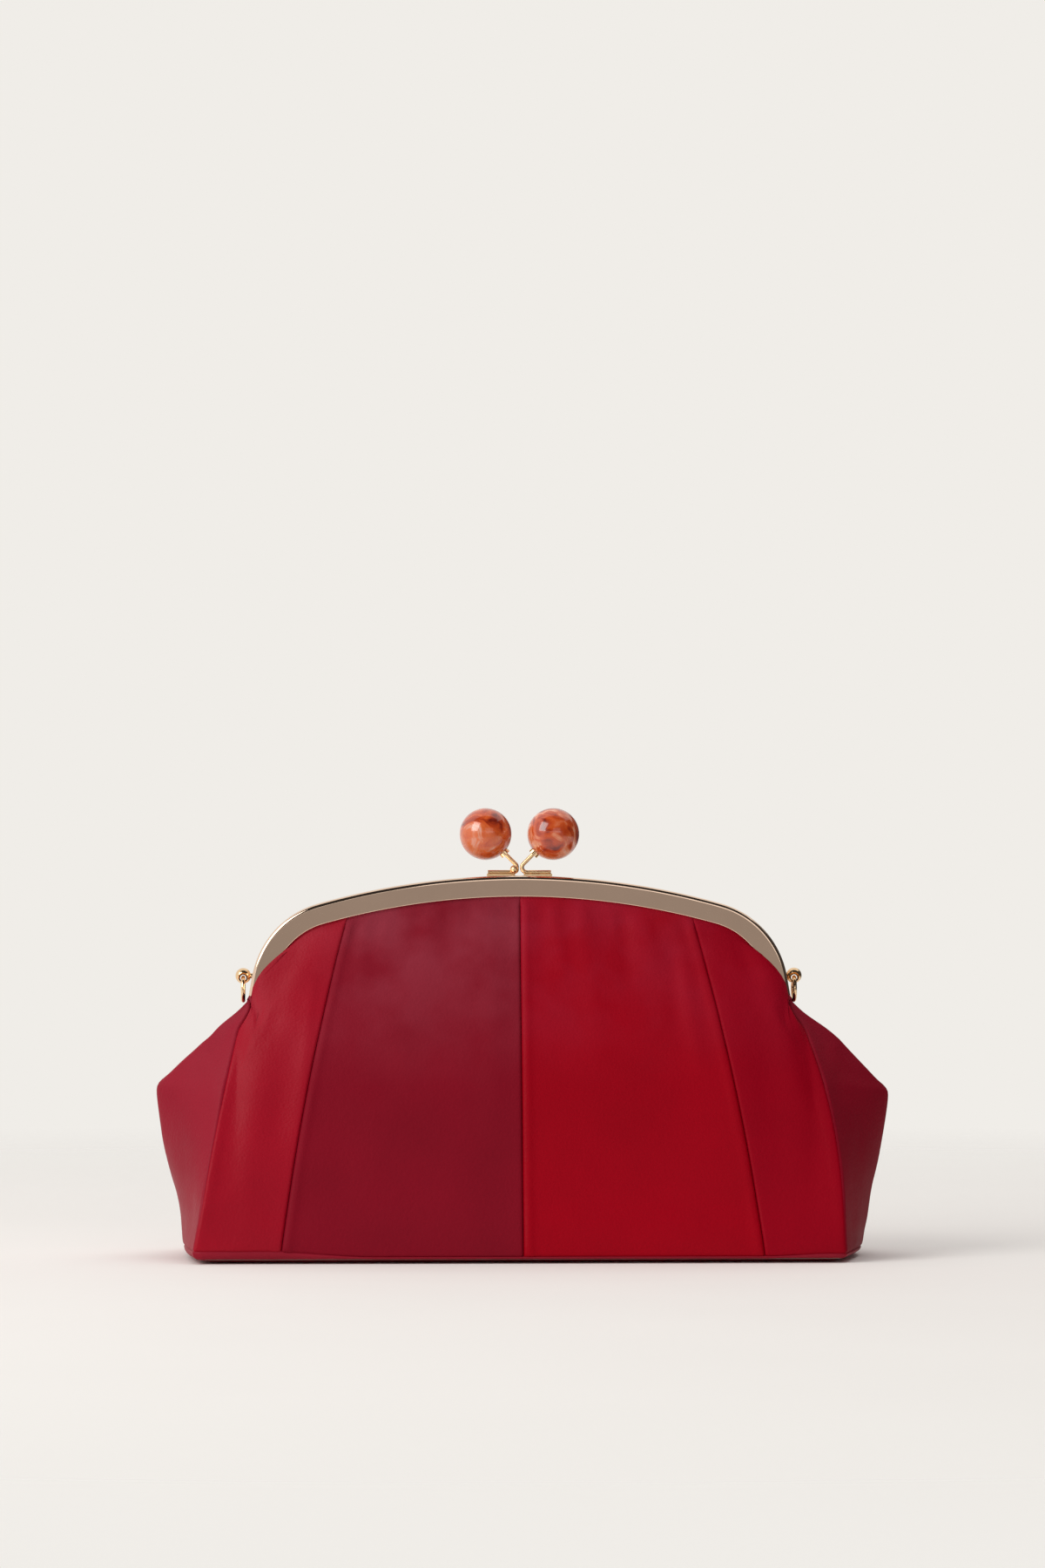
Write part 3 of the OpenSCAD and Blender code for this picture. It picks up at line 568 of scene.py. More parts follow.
def distances(points, axis):
    """Distance along the sheet from its first edge, in mm."""
    step = np.linalg.norm(np.diff(points, axis=axis), axis=-1)
    first = np.zeros_like(np.take(step, [0], axis=axis))
    return np.cumsum(np.concatenate([first, step], axis=axis), axis=axis)


def worn(c, t, folds):
    """Shell with its sag and its soft folds, and its normals."""
    points = shell(c, t) + sag_at(c, t)
    normal = row_normals(points)
    points = points + normal * fold_height(points[..., 0], points[..., 2], folds)[..., None]
    return points, row_normals(points)


# %% [markdown]
# Leather is a skin with a fine pebble. Cells a little under a millimetre give the grain, a
# finer noise breaks it up, and slow noises make the dye and the gloss uneven, as on a hide that
# has been dyed and pressed. Near the frame the colour is mixed in cloudy patches towards a paler
# pink. This is a painted sheen, which stands in for the soft reflections on the upper panels. All
# of it reads Object coordinates in metres, so the scale of the grain is the real one on every piece.

# %% Colour helpers
def srgb(red, green, blue):
    """A colour of 0 to 255, as read on screen, in the linear numbers that shaders use."""
    def linear(value):
        value /= 255
        return value / 12.92 if value <= 0.04045 else ((value + 0.055) / 1.055) ** 2.4
    return (linear(red), linear(green), linear(blue), 1.0)


def shade(colour, amount):
    return (*(min(1.0, v * amount) for v in colour[:3]), 1.0)


class Finish:
    """A new material with its shader, and short ways to add and join nodes."""

    def __init__(self, name):
        self.material = bpy.data.materials.new(name)
        self.material.use_nodes = True
        self.tree = self.material.node_tree
        self.shader = self.tree.nodes["Principled BSDF"]
        self.coords = self.add("ShaderNodeTexCoord").outputs["Object"]

    def add(self, kind, **sockets):
        node = self.tree.nodes.new(kind)
        for key, value in sockets.items():
            node.inputs[key.replace("_", " ")].default_value = value
        return node

    def join(self, out, socket):
        self.tree.links.new(out, socket)

    def noise(self, scale, detail=2.0, vector=None, distortion=0.0):
        node = self.add("ShaderNodeTexNoise", Scale=scale, Detail=detail, Distortion=distortion)
        self.join(vector or self.coords, node.inputs["Vector"])
        return node.outputs["Fac"]

    def cells(self, scale, feature="F1"):
        node = self.add("ShaderNodeTexVoronoi", Scale=scale)
        node.feature = feature
        self.join(self.coords, node.inputs["Vector"])
        return node.outputs["Distance"]

    def ramp(self, out, stops):
        node = self.add("ShaderNodeValToRGB")
        node.color_ramp.elements[0].position = stops[0][0]
        node.color_ramp.elements[0].color = stops[0][1]
        node.color_ramp.elements[1].position = stops[-1][0]
        node.color_ramp.elements[1].color = stops[-1][1]
        for place, colour in stops[1:-1]:
            node.color_ramp.elements.new(place).color = colour
        self.join(out, node.inputs["Fac"])
        return node.outputs["Color"]

    def span(self, out, low, high, from_low=0.3, from_high=0.7):
        node = self.add("ShaderNodeMapRange")
        limits = {"From Min": from_low, "From Max": from_high, "To Min": low, "To Max": high}
        for socket, value in limits.items():
            node.inputs[socket].default_value = value
        self.join(out, node.inputs["Value"])
        return node.outputs["Result"]

    def bump(self, out, strength, depth_mm, under=None):
        node = self.add("ShaderNodeBump", Strength=strength, Distance=depth_mm * MM)
        self.join(out, node.inputs["Height"])
        if under:
            self.join(under, node.inputs["Normal"])
        return node.outputs["Normal"]

    def set(self, **sockets):
        for key, value in sockets.items():
            self.shader.inputs[key.replace("_", " ")].default_value = value


# %% Leather
# The mix node has sockets for numbers, vectors and colours, and these are the colours' places
MIX_FIRST, MIX_SECOND, MIX_RESULT = 6, 7, 2
# Heights in metres over which the painted sheen fades in, a paler colour in place of soft reflections
PAINTED_SHEEN_OVER = (0.066, 0.128)


def leather(name, colour, painted_sheen, gloss, shine=0.14):
    """Dyed lambskin: fine pebble, uneven dye, a soft shine, and a painted sheen near the top."""
    hide = Finish(name)
    dye = hide.ramp(hide.noise(26, 3), [(0.3, shade(colour, 0.92)), (0.5, colour),
                                        (0.72, shade(colour, 1.07))])
    place = hide.add("ShaderNodeSeparateXYZ")
    hide.join(hide.coords, place.inputs[0])
    # Painted sheen: over the upper panels the colour is mixed in patches towards the paler second colour, as
    # painted reflections
    sheen_mask = hide.add("ShaderNodeMath")
    sheen_mask.operation = "MULTIPLY"
    hide.join(hide.span(place.outputs["Z"], 0.0, 1.0, *PAINTED_SHEEN_OVER), sheen_mask.inputs[0])
    hide.join(hide.span(hide.noise(38, 3), 0.2, 1.0, 0.38, 0.64), sheen_mask.inputs[1])
    sheen_mix = hide.add("ShaderNodeMix")
    sheen_mix.data_type = "RGBA"
    sheen_mix.inputs[MIX_SECOND].default_value = painted_sheen
    hide.join(sheen_mask.outputs[0], sheen_mix.inputs[0])
    hide.join(dye, sheen_mix.inputs[MIX_FIRST])
    hide.join(sheen_mix.outputs[MIX_RESULT], hide.shader.inputs["Base Color"])
    hide.join(hide.span(hide.noise(60, 4), gloss - 0.05, gloss + 0.07), hide.shader.inputs["Roughness"])
    pebble = hide.bump(hide.cells(1150, "SMOOTH_F1"), 0.55, 0.15)
    creases = hide.bump(hide.noise(420, 5), 0.5, 0.2, pebble)
    soft = hide.bump(hide.noise(90, 3), 0.16, 0.5, creases)
    hide.join(soft, hide.shader.inputs["Normal"])
    hide.set(Specular_IOR_Level=shine)
    return hide.material


# The second colour of each leather is its painted sheen, the paler tone mixed in near the top
cherry = leather("cherry_leather", srgb(158, 6, 32), srgb(170, 38, 56), 0.46, 0.12)
wine = leather("wine_leather", srgb(131, 10, 32), srgb(148, 48, 64), 0.58, 0.08)
scarlet = leather("scarlet_leather", srgb(156, 0, 22), srgb(161, 25, 47), 0.46, 0.06)
poppy = leather("poppy_leather", srgb(148, 0, 24), srgb(158, 17, 41), 0.48, 0.06)
# On the left gusset the paler, pinker garnet is painted light: the gussets are of one leather, and the left
# one faces the key lamp
garnet = leather("garnet_leather", srgb(148, 20, 42), srgb(152, 40, 58), 0.50)
print("leathers:", [m.name for m in (cherry, wine, scarlet, poppy, garnet)])

# %% [markdown]
# The front and the rear are each sewn from four patches, in four reds. Every patch is one grid
# that is laid on the settled shell between its two seams, from the base seam up into the
# frame's channel. The last rows run on behind the frame's face, as the real leather does, where
# the paper cord jams it. Near the foot of the leg the channel is narrow and the leather full, so
# it swells out over the metal.

# %% Patches of the front and the rear
LEATHER_WALL = LEATHER_T - 0.1
TUCK = 2.4
TUCK_ROWS = 4
TURN_IN, TURN_DOWN = 0.3, 0.12
SPILL_FROM_X, SPILL_FULL_X = 83.0, 99.0
SPILL_OUT, SPILL_AHEAD = 4.3, 2.3
SPILL_WAY = (0.82, 0.57)
PATCH_TALL = 132


def declare(obj, material, thickness, replaced, slot, **sheet):
    obj.data.materials.append(material)
    thicken(obj, thickness)
    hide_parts(*replaced)


def blend_with(obj):
    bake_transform(obj)


def spilled(points, from_top):
    """Near the foot of the leg the full leather swells out over the frame's face."""
    top = points[-1]
    reach = np.abs(top[:, 0])
    share = rising(reach, SPILL_FROM_X, SPILL_FULL_X)
    to_seam = reach.max() - reach
    out = SPILL_OUT * share * rising(to_seam, 0, 4.5) * rising(from_top, 0.6, 2.6)
    out = out * (1 - rising(from_top, 2.6, 19.6))
    ahead = SPILL_AHEAD * share * rising(to_seam, 0, 7.5) * rising(from_top, 0, 0.9)
    ahead = ahead * (1 - rising(from_top, 5, 39))
    way = np.stack([np.sign(top[:, 0]) * SPILL_WAY[0], 0 * reach, 0 * reach + SPILL_WAY[1]], axis=-1)
    forward = np.stack([0 * reach, np.sign(top[:, 1]), 0 * reach], axis=-1)
    return points + out[..., None] * way + ahead[..., None] * forward


def tucked(points, depth, toward_middle):
    """Adds rows that run on into the channel, up and away from the arch's middle."""
    top = points[-1]
    run = np.gradient(top, axis=0)
    out = np.stack([-run[:, 2], 0 * run[:, 1], run[:, 0]], axis=-1) * toward_middle
    out /= np.maximum(np.linalg.norm(out, axis=-1, keepdims=True), 1e-9)
    # Past the leg there is no channel, and the edge turns in under the leg's end
    beyond = smooth((np.abs(top[:, 0]) - taper_to[0] + 1.0) / 1.5)[:, None]
    inward = TURN_IN * np.stack([0 * top[:, 0], -np.sign(top[:, 1]), -TURN_DOWN + 0 * top[:, 0]], axis=-1)
    way = lerp(out, inward, beyond)
    extra = [top + way * depth * k / TUCK_ROWS for k in range(1, TUCK_ROWS + 1)]
    return np.concatenate([points, np.stack(extra)])


def patch(name, c_from, c_to, lips, folds, material, replaced, slot, half, rear):
    """One patch between two seams. lips is the height of the lip at its first and last seam."""
    wide = float(np.linalg.norm(shell(c_from, 0.0) - shell(c_to, 0.0)))
    c = lerp(c_from, c_to, steps_between(wide, 2.0))
    t = steps_between(PATCH_TALL, 1.7)
    points, normal = worn(c[None, :], t[:, None], folds)
    d_first = distances(points, 1)
    d_last = d_first[:, -1:] - d_first
    d_base = distances(points, 0)
    drop = rolled(d_first) + rolled(d_last) + rolled(d_base)
    drop += lip(d_first, lips[0]) + lip(d_last, lips[1]) + lip(d_base, 0.1)
    drop += pucker(d_first, d_base) + pucker(d_last, d_base + 1.3) + pucker(d_base, d_first)
    # The relief fades before the channel, where the frame presses the seams flat
    free = smooth((d_base[-1:] - d_base) / 5)
    points = points + normal * (drop * lerp(0.25, 1, free))[..., None]
    points = tucked(spilled(points, d_base[-1:] - d_base), TUCK, 1 if not rear else -1)
    obj = grid_object(name, points)
    area = float((np.linalg.norm(np.diff(points, axis=1), axis=-1)[:-1]
                  * np.linalg.norm(np.diff(points, axis=0), axis=-1)[:, :-1]).sum()) * MM * MM
    flat_w = wide * MM
    # A little longer than its area needs, as a curved strip is cut from a longer blank
    flat_l = max(area / (flat_w * 0.97), float(d_base[-1].max()) * MM)
    declare(obj, material, LEATHER_WALL, replaced, slot, flat=(flat_w, flat_l), held="stretched",
            rests_on=[f"{half[:-5]}_channel_cord"], area=min(area, flat_w * flat_l))
    blend_with(obj)
    print(name, "cut from", round(flat_w / MM), "x", round(flat_l / MM), "mm")
    return obj


C_PATCH = (1 - U_PATCH) / 2
FRONT_CUTS = [
    ("left_side", 0.0, C_PATCH, (0.12, 0.05), cherry, "cherry_leather"),
    ("left_middle", C_PATCH, 0.5, (0.42, 0.05), wine, "wine_leather"),
    ("right_middle", 0.5, 1 - C_PATCH, (0.5, 0.3), scarlet, "scarlet_leather"),
    ("right_side", 1 - C_PATCH, 1.0, (0.05, 0.12), poppy, "poppy_leather"),
]
for place, c_from, c_to, lips, material, slot_name in FRONT_CUTS:
    node = f"front_{place}"
    patch(f"Patch_{node}", c_from, c_to, lips, FRONT_FOLDS, material,
          (node, f"{node}_top"), slot_name, "front_half", False)
for place, c_from, c_to, lips, material, slot_name in FRONT_CUTS:
    node = f"rear_{place}"
    patch(f"Patch_{node}", 3 - c_to, 3 - c_from, lips[::-1], REAR_FOLDS, material,
          (node, f"{node}_top"), slot_name, "rear_half", True)

# %% [markdown]
# On a bag of this kind each gusset is one piece of leather. Here it is made in two halves, which
# meet on its middle line, because the front half follows the front of the frame and the rear
# half the rear. Below the hinge nothing moves, so the middle line stays closed. The top edge drops
# in a V between the legs.

# %% Gussets
GUSSET_WIDE, GUSSET_TALL = 52, 104
ON_MIDDLE_LINE = 0.4


def gusset_half(name, c_from, c_to, fold_first, material, replaced):
    """Half a gusset, from its seam to its fold, or from its fold to its seam."""
    c = lerp(c_from, c_to, steps_between(GUSSET_WIDE, 1.4, fine_start=not fold_first, fine_end=fold_first))
    t = steps_between(GUSSET_TALL, 1.5, fine_end=False)
    mirrored = [(side * x0, z0, side * x1, z1, w, h) for x0, z0, x1, z1, w, h in GUSSET_FOLDS
                for side in (-1, 1)]
    points, normal = worn(c[None, :], t[:, None], mirrored)
    across = distances(points, 1)
    d_seam = across[:, -1:] - across if fold_first else across
    d_base = distances(points, 0)
    drop = 1.25 * rolled(d_seam) + rolled(d_base) + pucker(d_seam, d_base) + lip(d_base, 0.1)
    points = points + normal * drop[..., None]
    middle = 0 if fold_first else -1
    points[:, middle, 1] = 0
    obj = grid_object(name, points)
    obj.data.materials.append(material)
    thicken(obj, LEATHER_WALL)
    for vertex in obj.data.vertices:
        if abs(vertex.co.y) < ON_MIDDLE_LINE * MM:
            vertex.co.y = 0.0
    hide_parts(*replaced)
    blend_with(obj)
    return obj


gusset_half("Gusset_right_front", 1.0, 1.5, False, wine,
            ("gusset_right", "gusset_right_front_top"))
gusset_half("Gusset_right_rear", 1.5, 2.0, True, wine,
            ("gusset_right_rear_top",))
# The left gusset halves get garnet instead of wine as painted sheen from the key lamp at the left
gusset_half("Gusset_left_rear", 3.0, 3.5, False, garnet,
            ("gusset_left_rear_top",))
gusset_half("Gusset_left_front", 3.5, 4.0, True, garnet,
            ("gusset_left", "gusset_left_front_top"))
print("gussets reach out to, mm:", round(TIP_X, 1))

# %% [markdown]
# The base is a long hexagon of leather whose rim rolls up to the seam, so that only its middle
# lies on the table. It shows as a thin strip under the front, mostly at the left corner, where
# the seam climbs. It starts from the shell's lowest row, so that the rim meets the panels all the
# way round, and each further row is that loop moved in and down.

# %% Base panel
RIM_R = 2.0
UNDER_Z = 1.7
LOOP_STEPS = (74, 28, 74, 28)


def base_loop():
    """The shell's lowest row: the front, a gusset, the rear and the other gusset."""
    sides = [np.linspace(side, side + 1, steps, endpoint=False) for side, steps in enumerate(LOOP_STEPS)]
    return shell(np.append(np.concatenate(sides), 4.0), 0.0)


def inset_loop(loop, inset):
    """The loop moved in by a distance in mm, in proportion, so that no corner folds over."""
    reach = np.abs(loop[:, :2]).max(axis=0)
    moved = loop.copy()
    moved[:, :2] *= 1 - inset / reach
    return moved


def point_down(bm):
    """Turns the faces of an open tray so that its floor looks down."""
    bmesh.ops.recalc_face_normals(bm, faces=bm.faces)
    bm.normal_update()
    if sum(face.normal.z * face.calc_area() for face in bm.faces) > 0:
        bmesh.ops.reverse_faces(bm, faces=bm.faces)


def close_middle(obj, in_middle):
    """Fills the hole in a tray's middle, whose corners in_middle picks out, and turns it floor down."""
    bm = bmesh.new()
    bm.from_mesh(obj.data)
    inner = [e for e in bm.edges if e.is_boundary and all(in_middle(v) for v in e.verts)]
    bmesh.ops.holes_fill(bm, edges=inner, sides=0)
    point_down(bm)
    bm.to_mesh(obj.data)
    bm.free()


def rim_row(loop, inset, height_share):
    """The loop moved in, and its height above the underside's edge scaled."""
    row = inset_loop(loop, inset)
    row[:, 2] = UNDER_Z + (loop[:, 2] - UNDER_Z) * height_share
    return row


def under_row(loop, inset, height):
    row = inset_loop(loop, inset)
    row[:, 2] = height
    return row


rim = base_loop()
base_rows = [rim_row(rim, 1.35, 1.3), rim_row(rim, 0.5, 1.05)]
for turn in np.radians([8, 20, 34, 50, 66, 80, 90]):
    base_rows.append(rim_row(rim, 0.15 + RIM_R * (1 - math.cos(turn)), 1 - math.sin(turn)))
base_rows += [under_row(rim, 4.5, 1.15), under_row(rim, 7.0, 0.5), under_row(rim, 9.5, 0.12)]
flat_loop = under_row(rim, 12.0, 0.0)
base_rows.append(flat_loop)
for share in (0.9, 0.72, 0.5, 0.28, 0.1):
    base_rows.append(flat_loop * np.array([lerp(0.62, 1, share), share, 0]))
base_points = np.stack(base_rows)[::-1]
base_piece = grid_object("Base_leather", base_points, wrap=True)
close_middle(base_piece, lambda vertex: vertex.co.z < 0.1 * MM)
declare(base_piece, garnet, 1.0, ("base_panel",), "garnet_leather",
        flat=(0.262, 0.094), held="stretched", area=0.0232)
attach(base_piece, "bag")
print("base leather, faces:", len(base_piece.data.polygons))

# %% [markdown]
# The lining hangs loose inside the leather. It shows only when the bag is open, and then it is
# most of what is seen, so it gets its own pieces and a twill weave. Each lining is cut from the
# same shell, a little further in.

# %% Lining cloth
def lining_cloth():
    cloth = Finish("lining_twill")
    base = srgb(112, 30, 42)
    twill = cloth.add("ShaderNodeTexWave", Scale=950, Distortion=0.4, Detail=1.0)
    twill.wave_type = "BANDS"
    twill.bands_direction = "DIAGONAL"
    cloth.join(cloth.coords, twill.inputs["Vector"])
    tone = cloth.ramp(twill.outputs["Fac"], [(0.1, shade(base, 0.72)), (0.9, shade(base, 1.16))])
    cloth.join(tone, cloth.shader.inputs["Base Color"])
    cloth.join(cloth.span(cloth.noise(70, 3), 0.62, 0.78), cloth.shader.inputs["Roughness"])
    weave = cloth.bump(twill.outputs["Fac"], 0.4, 0.08)
    cloth.join(cloth.bump(cloth.noise(55, 3), 0.3, 0.9, weave), cloth.shader.inputs["Normal"])
    cloth.set(Sheen_Weight=0.25, Sheen_Roughness=0.4, Specular_IOR_Level=0.3)
    return cloth.material


lining_twill = lining_cloth()
LINING_T = 0.4
LINING_IN = LEATHER_T + 0.32
LINING_TOP_Z = 84.0


def lining_points(c, t, loose):
    points, normal = worn(c[None, :], t[:, None], [])
    ripple = np.sin(points[..., 0] / 7.5) + 0.7 * np.sin(points[..., 0] / 4.1 + points[..., 2] / 21)
    free = np.sin(np.pi * np.clip(t, 0, 1))[:, None]
    return points - normal * (LINING_IN + free * (loose + 0.3 * ripple))[..., None]


def panel_lining(name, c_from, c_to, half, replaced, rear):
    c = np.linspace(c_from + 0.011, c_to - 0.011, 110)
    t = np.linspace(0.035, 1, 50)
    points = tucked(lining_points(c, t, 0.7), 1.8, -1 if rear else 1)
    obj = grid_object(name, points)
    declare(obj, lining_twill, LINING_T, replaced, "lining", flat=(0.236, 0.140), held="hung",
            rests_on=[f"{half[:-5]}_channel_cord"], area=0.0282)
    blend_with(obj)


panel_lining("Lining_front", 0, 1, "front_half", ("front_lining", "front_lining_top"), False)
panel_lining("Lining_rear", 2, 3, "rear_half", ("rear_lining", "rear_lining_top"), True)
LINING_TOP_T = (LINING_TOP_Z - FOOT_Z) / (SEAM_END_Z - FOOT_Z)
for side, start in (("right", 1), ("left", 3)):
    c = np.linspace(start + 0.03, start + 0.97, 44)
    t = np.linspace(0.035, LINING_TOP_T, 34)
    side_lining = grid_object(f"Lining_gusset_{side}", lining_points(c, t, 0.5))
    declare(side_lining, lining_twill, LINING_T, (f"gusset_lining_{side}",), "lining",
            flat=(0.094, 0.084), held="hung", rests_on=["base_lining"], area=0.0072)
    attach(side_lining, "bag")

# %% Lining of the base, over the stiff board
floor_lo, floor_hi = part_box("base_lining")
lining_rim = inset_loop(rim, LEATHER_T + 2.4)
rows = []
for share in (1.0, 0.97, 0.9, 0.78, 0.6, 0.4, 0.2, 0.05):
    row = lining_rim * np.array([share if share > 0.5 else 0.5 + share / 2, share, 0])
    row[:, 2] = floor_lo.z / MM + 0.5 * (1 - share) * (1 + 0.4 * np.sin(row[:, 0] / 19))
    rows.append(row)
base_lining = grid_object("Lining_base", np.stack(rows), wrap=True)
close_middle(base_lining, lambda vertex: abs(vertex.co.y) < 0.2 * floor_hi.y
             and abs(vertex.co.x) < 0.6 * floor_hi.x)
declare(base_lining, lining_twill, LINING_T - 0.05, ("base_lining",), "lining",
        flat=(0.252, 0.086), held="laid", rests_on=["base_board"], area=0.0195)
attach(base_lining, "bag")
print("linings made")

# %% [markdown]
# The frame is thin sheet brass, folded to a channel and bent round the arch, then polished and
# plated in a pale gold. A mirror finish shows every facet, so the two halves are swept again
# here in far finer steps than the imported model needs: the same section is set square to the
# arch at each step. Extra lines beside each bend keep the flat face truly flat.

# %% Polished metal
def polished(name, colour, roughness):
    metal = Finish(name)
    tone = metal.ramp(metal.noise(35, 2), [(0.3, shade(colour, 0.97)), (0.7, shade(colour, 1.02))])
    metal.join(tone, metal.shader.inputs["Base Color"])
    wear = metal.span(metal.noise(240, 6, distortion=0.6), roughness * 0.8, roughness * 1.5, 0.35, 0.7)
    metal.join(wear, metal.shader.inputs["Roughness"])
    metal.join(metal.bump(metal.noise(900, 3), 0.015, 0.02), metal.shader.inputs["Normal"])
    metal.set(Metallic=1.0)
    return metal.material


pale_gold = polished("pale_gold", srgb(240, 211, 188), 0.07)
warm_gold = polished("warm_gold", srgb(248, 214, 172), 0.15)
satin_gold = polished("satin_gold", srgb(252, 218, 170), 0.3)

# %% Stations down one side of the arch: outer point, outward normal, face width
WALL, EDGE_R, INNER_H, INNER_T, SLOT_W, CLOSING_GAP = 1.0, 1.6, 6.4, 0.8, 3.2, 0.3


def taper_width(p, n):
    """Width of the face where the leg narrows along its arc."""
    w = p - TAPER_C
    f = float(w @ n)
    return f - math.sqrt(f * f - float(w @ w) + TAPER_R ** 2)


def arch_stations():
    out = []
    for a in np.concatenate([np.linspace(0, ARCH_A, 61), np.linspace(ARCH_A, LEG_A, 47)[1:]]):
        n = np.array([math.sin(a), math.cos(a)])
        middle = np.array([0, ARCH_Z]) if a <= ARCH_A else np.array(SHOULDER)
        p = middle + n * (ARCH_R if a <= ARCH_A else SHOULDER_R)
        out.append((p, n, FACE_H if a <= TAPER_A else taper_width(p, n)))
    n = np.array([math.sin(LEG_A), math.cos(LEG_A)])
    for along in np.linspace(0, 11.2, 10)[1:]:
        p = np.array(LEG_TOP) + along * np.array([math.cos(LEG_A), -math.sin(LEG_A)])
        out.append((p, n, taper_width(p, n)))
    return out


def frame_profile(face_w):
    """Section of one half: inset from the outer surface, and distance from the closing line."""
    deep = min(INNER_H, face_w - 0.3)
    inner_y = HALF_DEPTH - WALL - SLOT_W - INNER_T
    bend = [(EDGE_R * (1 - math.cos(a)), HALF_DEPTH - EDGE_R * (1 - math.sin(a)))
            for a in np.radians(np.linspace(0, 90, 13))]
    tip = [(face_w - 0.3 * (1 - math.sin(a)), HALF_DEPTH - 0.3 * (1 - math.cos(a)))
           for a in np.radians(np.linspace(0, 90, 5))]
    return ([(0.25, CLOSING_GAP / 2), (0.07, CLOSING_GAP / 2 + 0.07), (0, CLOSING_GAP / 2 + 0.25),
             (0, CLOSING_GAP / 2 + 0.4), (0, HALF_DEPTH - EDGE_R - 0.15)] + bend
            + [(EDGE_R + 0.12, HALF_DEPTH), (face_w - 0.42, HALF_DEPTH)] + tip
            + [(face_w, HALF_DEPTH - WALL), (WALL, HALF_DEPTH - WALL), (WALL, inner_y + INNER_T),
               (deep, inner_y + INNER_T), (deep, inner_y), (WALL, inner_y), (WALL, CLOSING_GAP / 2),
               (0.25, CLOSING_GAP / 2)])


# %% The two halves of the frame
TAB_R, TAB_T, TAB_TOP_Z, TAB_FOOT_W = 2.7, 0.9, 7.0, 1.4
RIVET_HEAD_T, STACK_GAP = 0.7, 0.1
SHARP_BEND = math.radians(28)


def hinge_tab(bm, x, turn):
    """A round tab on the pin, with a foot that runs up the inner wall."""
    root = -(HALF_DEPTH - WALL - SLOT_W - INNER_T / 2)
    round_end = [(TAB_R * math.cos(a), TAB_R * math.sin(a)) for a in np.radians(np.linspace(215, 465, 36))]
    outline = [(root, -1.0)] + round_end + [(root + TAB_FOOT_W, TAB_TOP_Z), (root, TAB_TOP_Z)]
    verts = [bm.verts.new(Vector((x, turn * y, HINGE_Z + z)) * MM) for y, z in outline]
    side = bm.faces.new(verts)
    out = bmesh.ops.extrude_face_region(bm, geom=[side], use_keep_orig=True)
    moved = [g for g in out["geom"] if isinstance(g, bmesh.types.BMVert)]
    bmesh.ops.translate(bm, verts=moved, vec=(TAB_T * MM, 0, 0))


def frame_half(name, node, turn, tab_x, body):
    """turn is 1 for the front half and -1 for the rear one."""
    right = arch_stations()
    left = [(p * [-1, 1], n * [-1, 1], w) for p, n, w in right[:0:-1]]
    rings = []
    for p, n, face_w in left + right:
        ring = [(p[0] - inset * n[0], -turn * y, p[1] - inset * n[1]) for inset, y in frame_profile(face_w)]
        rings.append(ring)
    half = grid_object(name, np.array(rings).transpose(1, 0, 2), wrap=True, caps=True)
    bm = bmesh.new()
    bm.from_mesh(half.data)
    rise = HINGE_Z - LEG_END_Z + CLOSING_GAP
    level_cut = ((0, 0, LEG_END_Z), (0, 0, 1))
    slanted_cut = ((0, -turn * rise, LEG_END_Z), (0, -turn, 1))
    for point, normal in (level_cut, slanted_cut):
        bmesh.ops.bisect_plane(bm, geom=bm.verts[:] + bm.edges[:] + bm.faces[:],
                               plane_co=Vector(point) * MM, plane_no=normal, clear_inner=True)
        bmesh.ops.holes_fill(bm, edges=[e for e in bm.edges if e.is_boundary], sides=0)
    for side in (-1, 1):
        hinge_tab(bm, tab_x if side > 0 else -tab_x - TAB_T, turn)
    bmesh.ops.recalc_face_normals(bm, faces=bm.faces)
    for face in bm.faces:
        face.smooth = True
    for edge in bm.edges:
        edge.smooth = not (len(edge.link_faces) == 2 and edge.calc_face_angle(0) > SHARP_BEND)
    bm.to_mesh(half.data)
    bm.free()
    half.data.materials.append(pale_gold)
    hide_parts(node)
    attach(half, body)
    return half


stack_x = leg_x(HINGE_Z) - WALL - 0.45
rear_tab_x = stack_x - RIVET_HEAD_T - STACK_GAP - TAB_T
front_tab_x = rear_tab_x - STACK_GAP - TAB_T
frame_half("Frame_front_polished", "front_frame", 1, front_tab_x, "front_half")
frame_half("Frame_rear_polished", "rear_frame", -1, rear_tab_x, "rear_half")
print("hinge tabs at, mm:", round(front_tab_x, 2), round(rear_tab_x, 2))

# %% [markdown]
# The two closing balls are cast resin with swirls of rust, orange and milky pink, tumbled to a
# high gloss. The swirl is one noise that is stirred by another, read through a colour ramp, and
# a clear coat gives the depth. Each ball is turned with a small seat round the rod's bore.

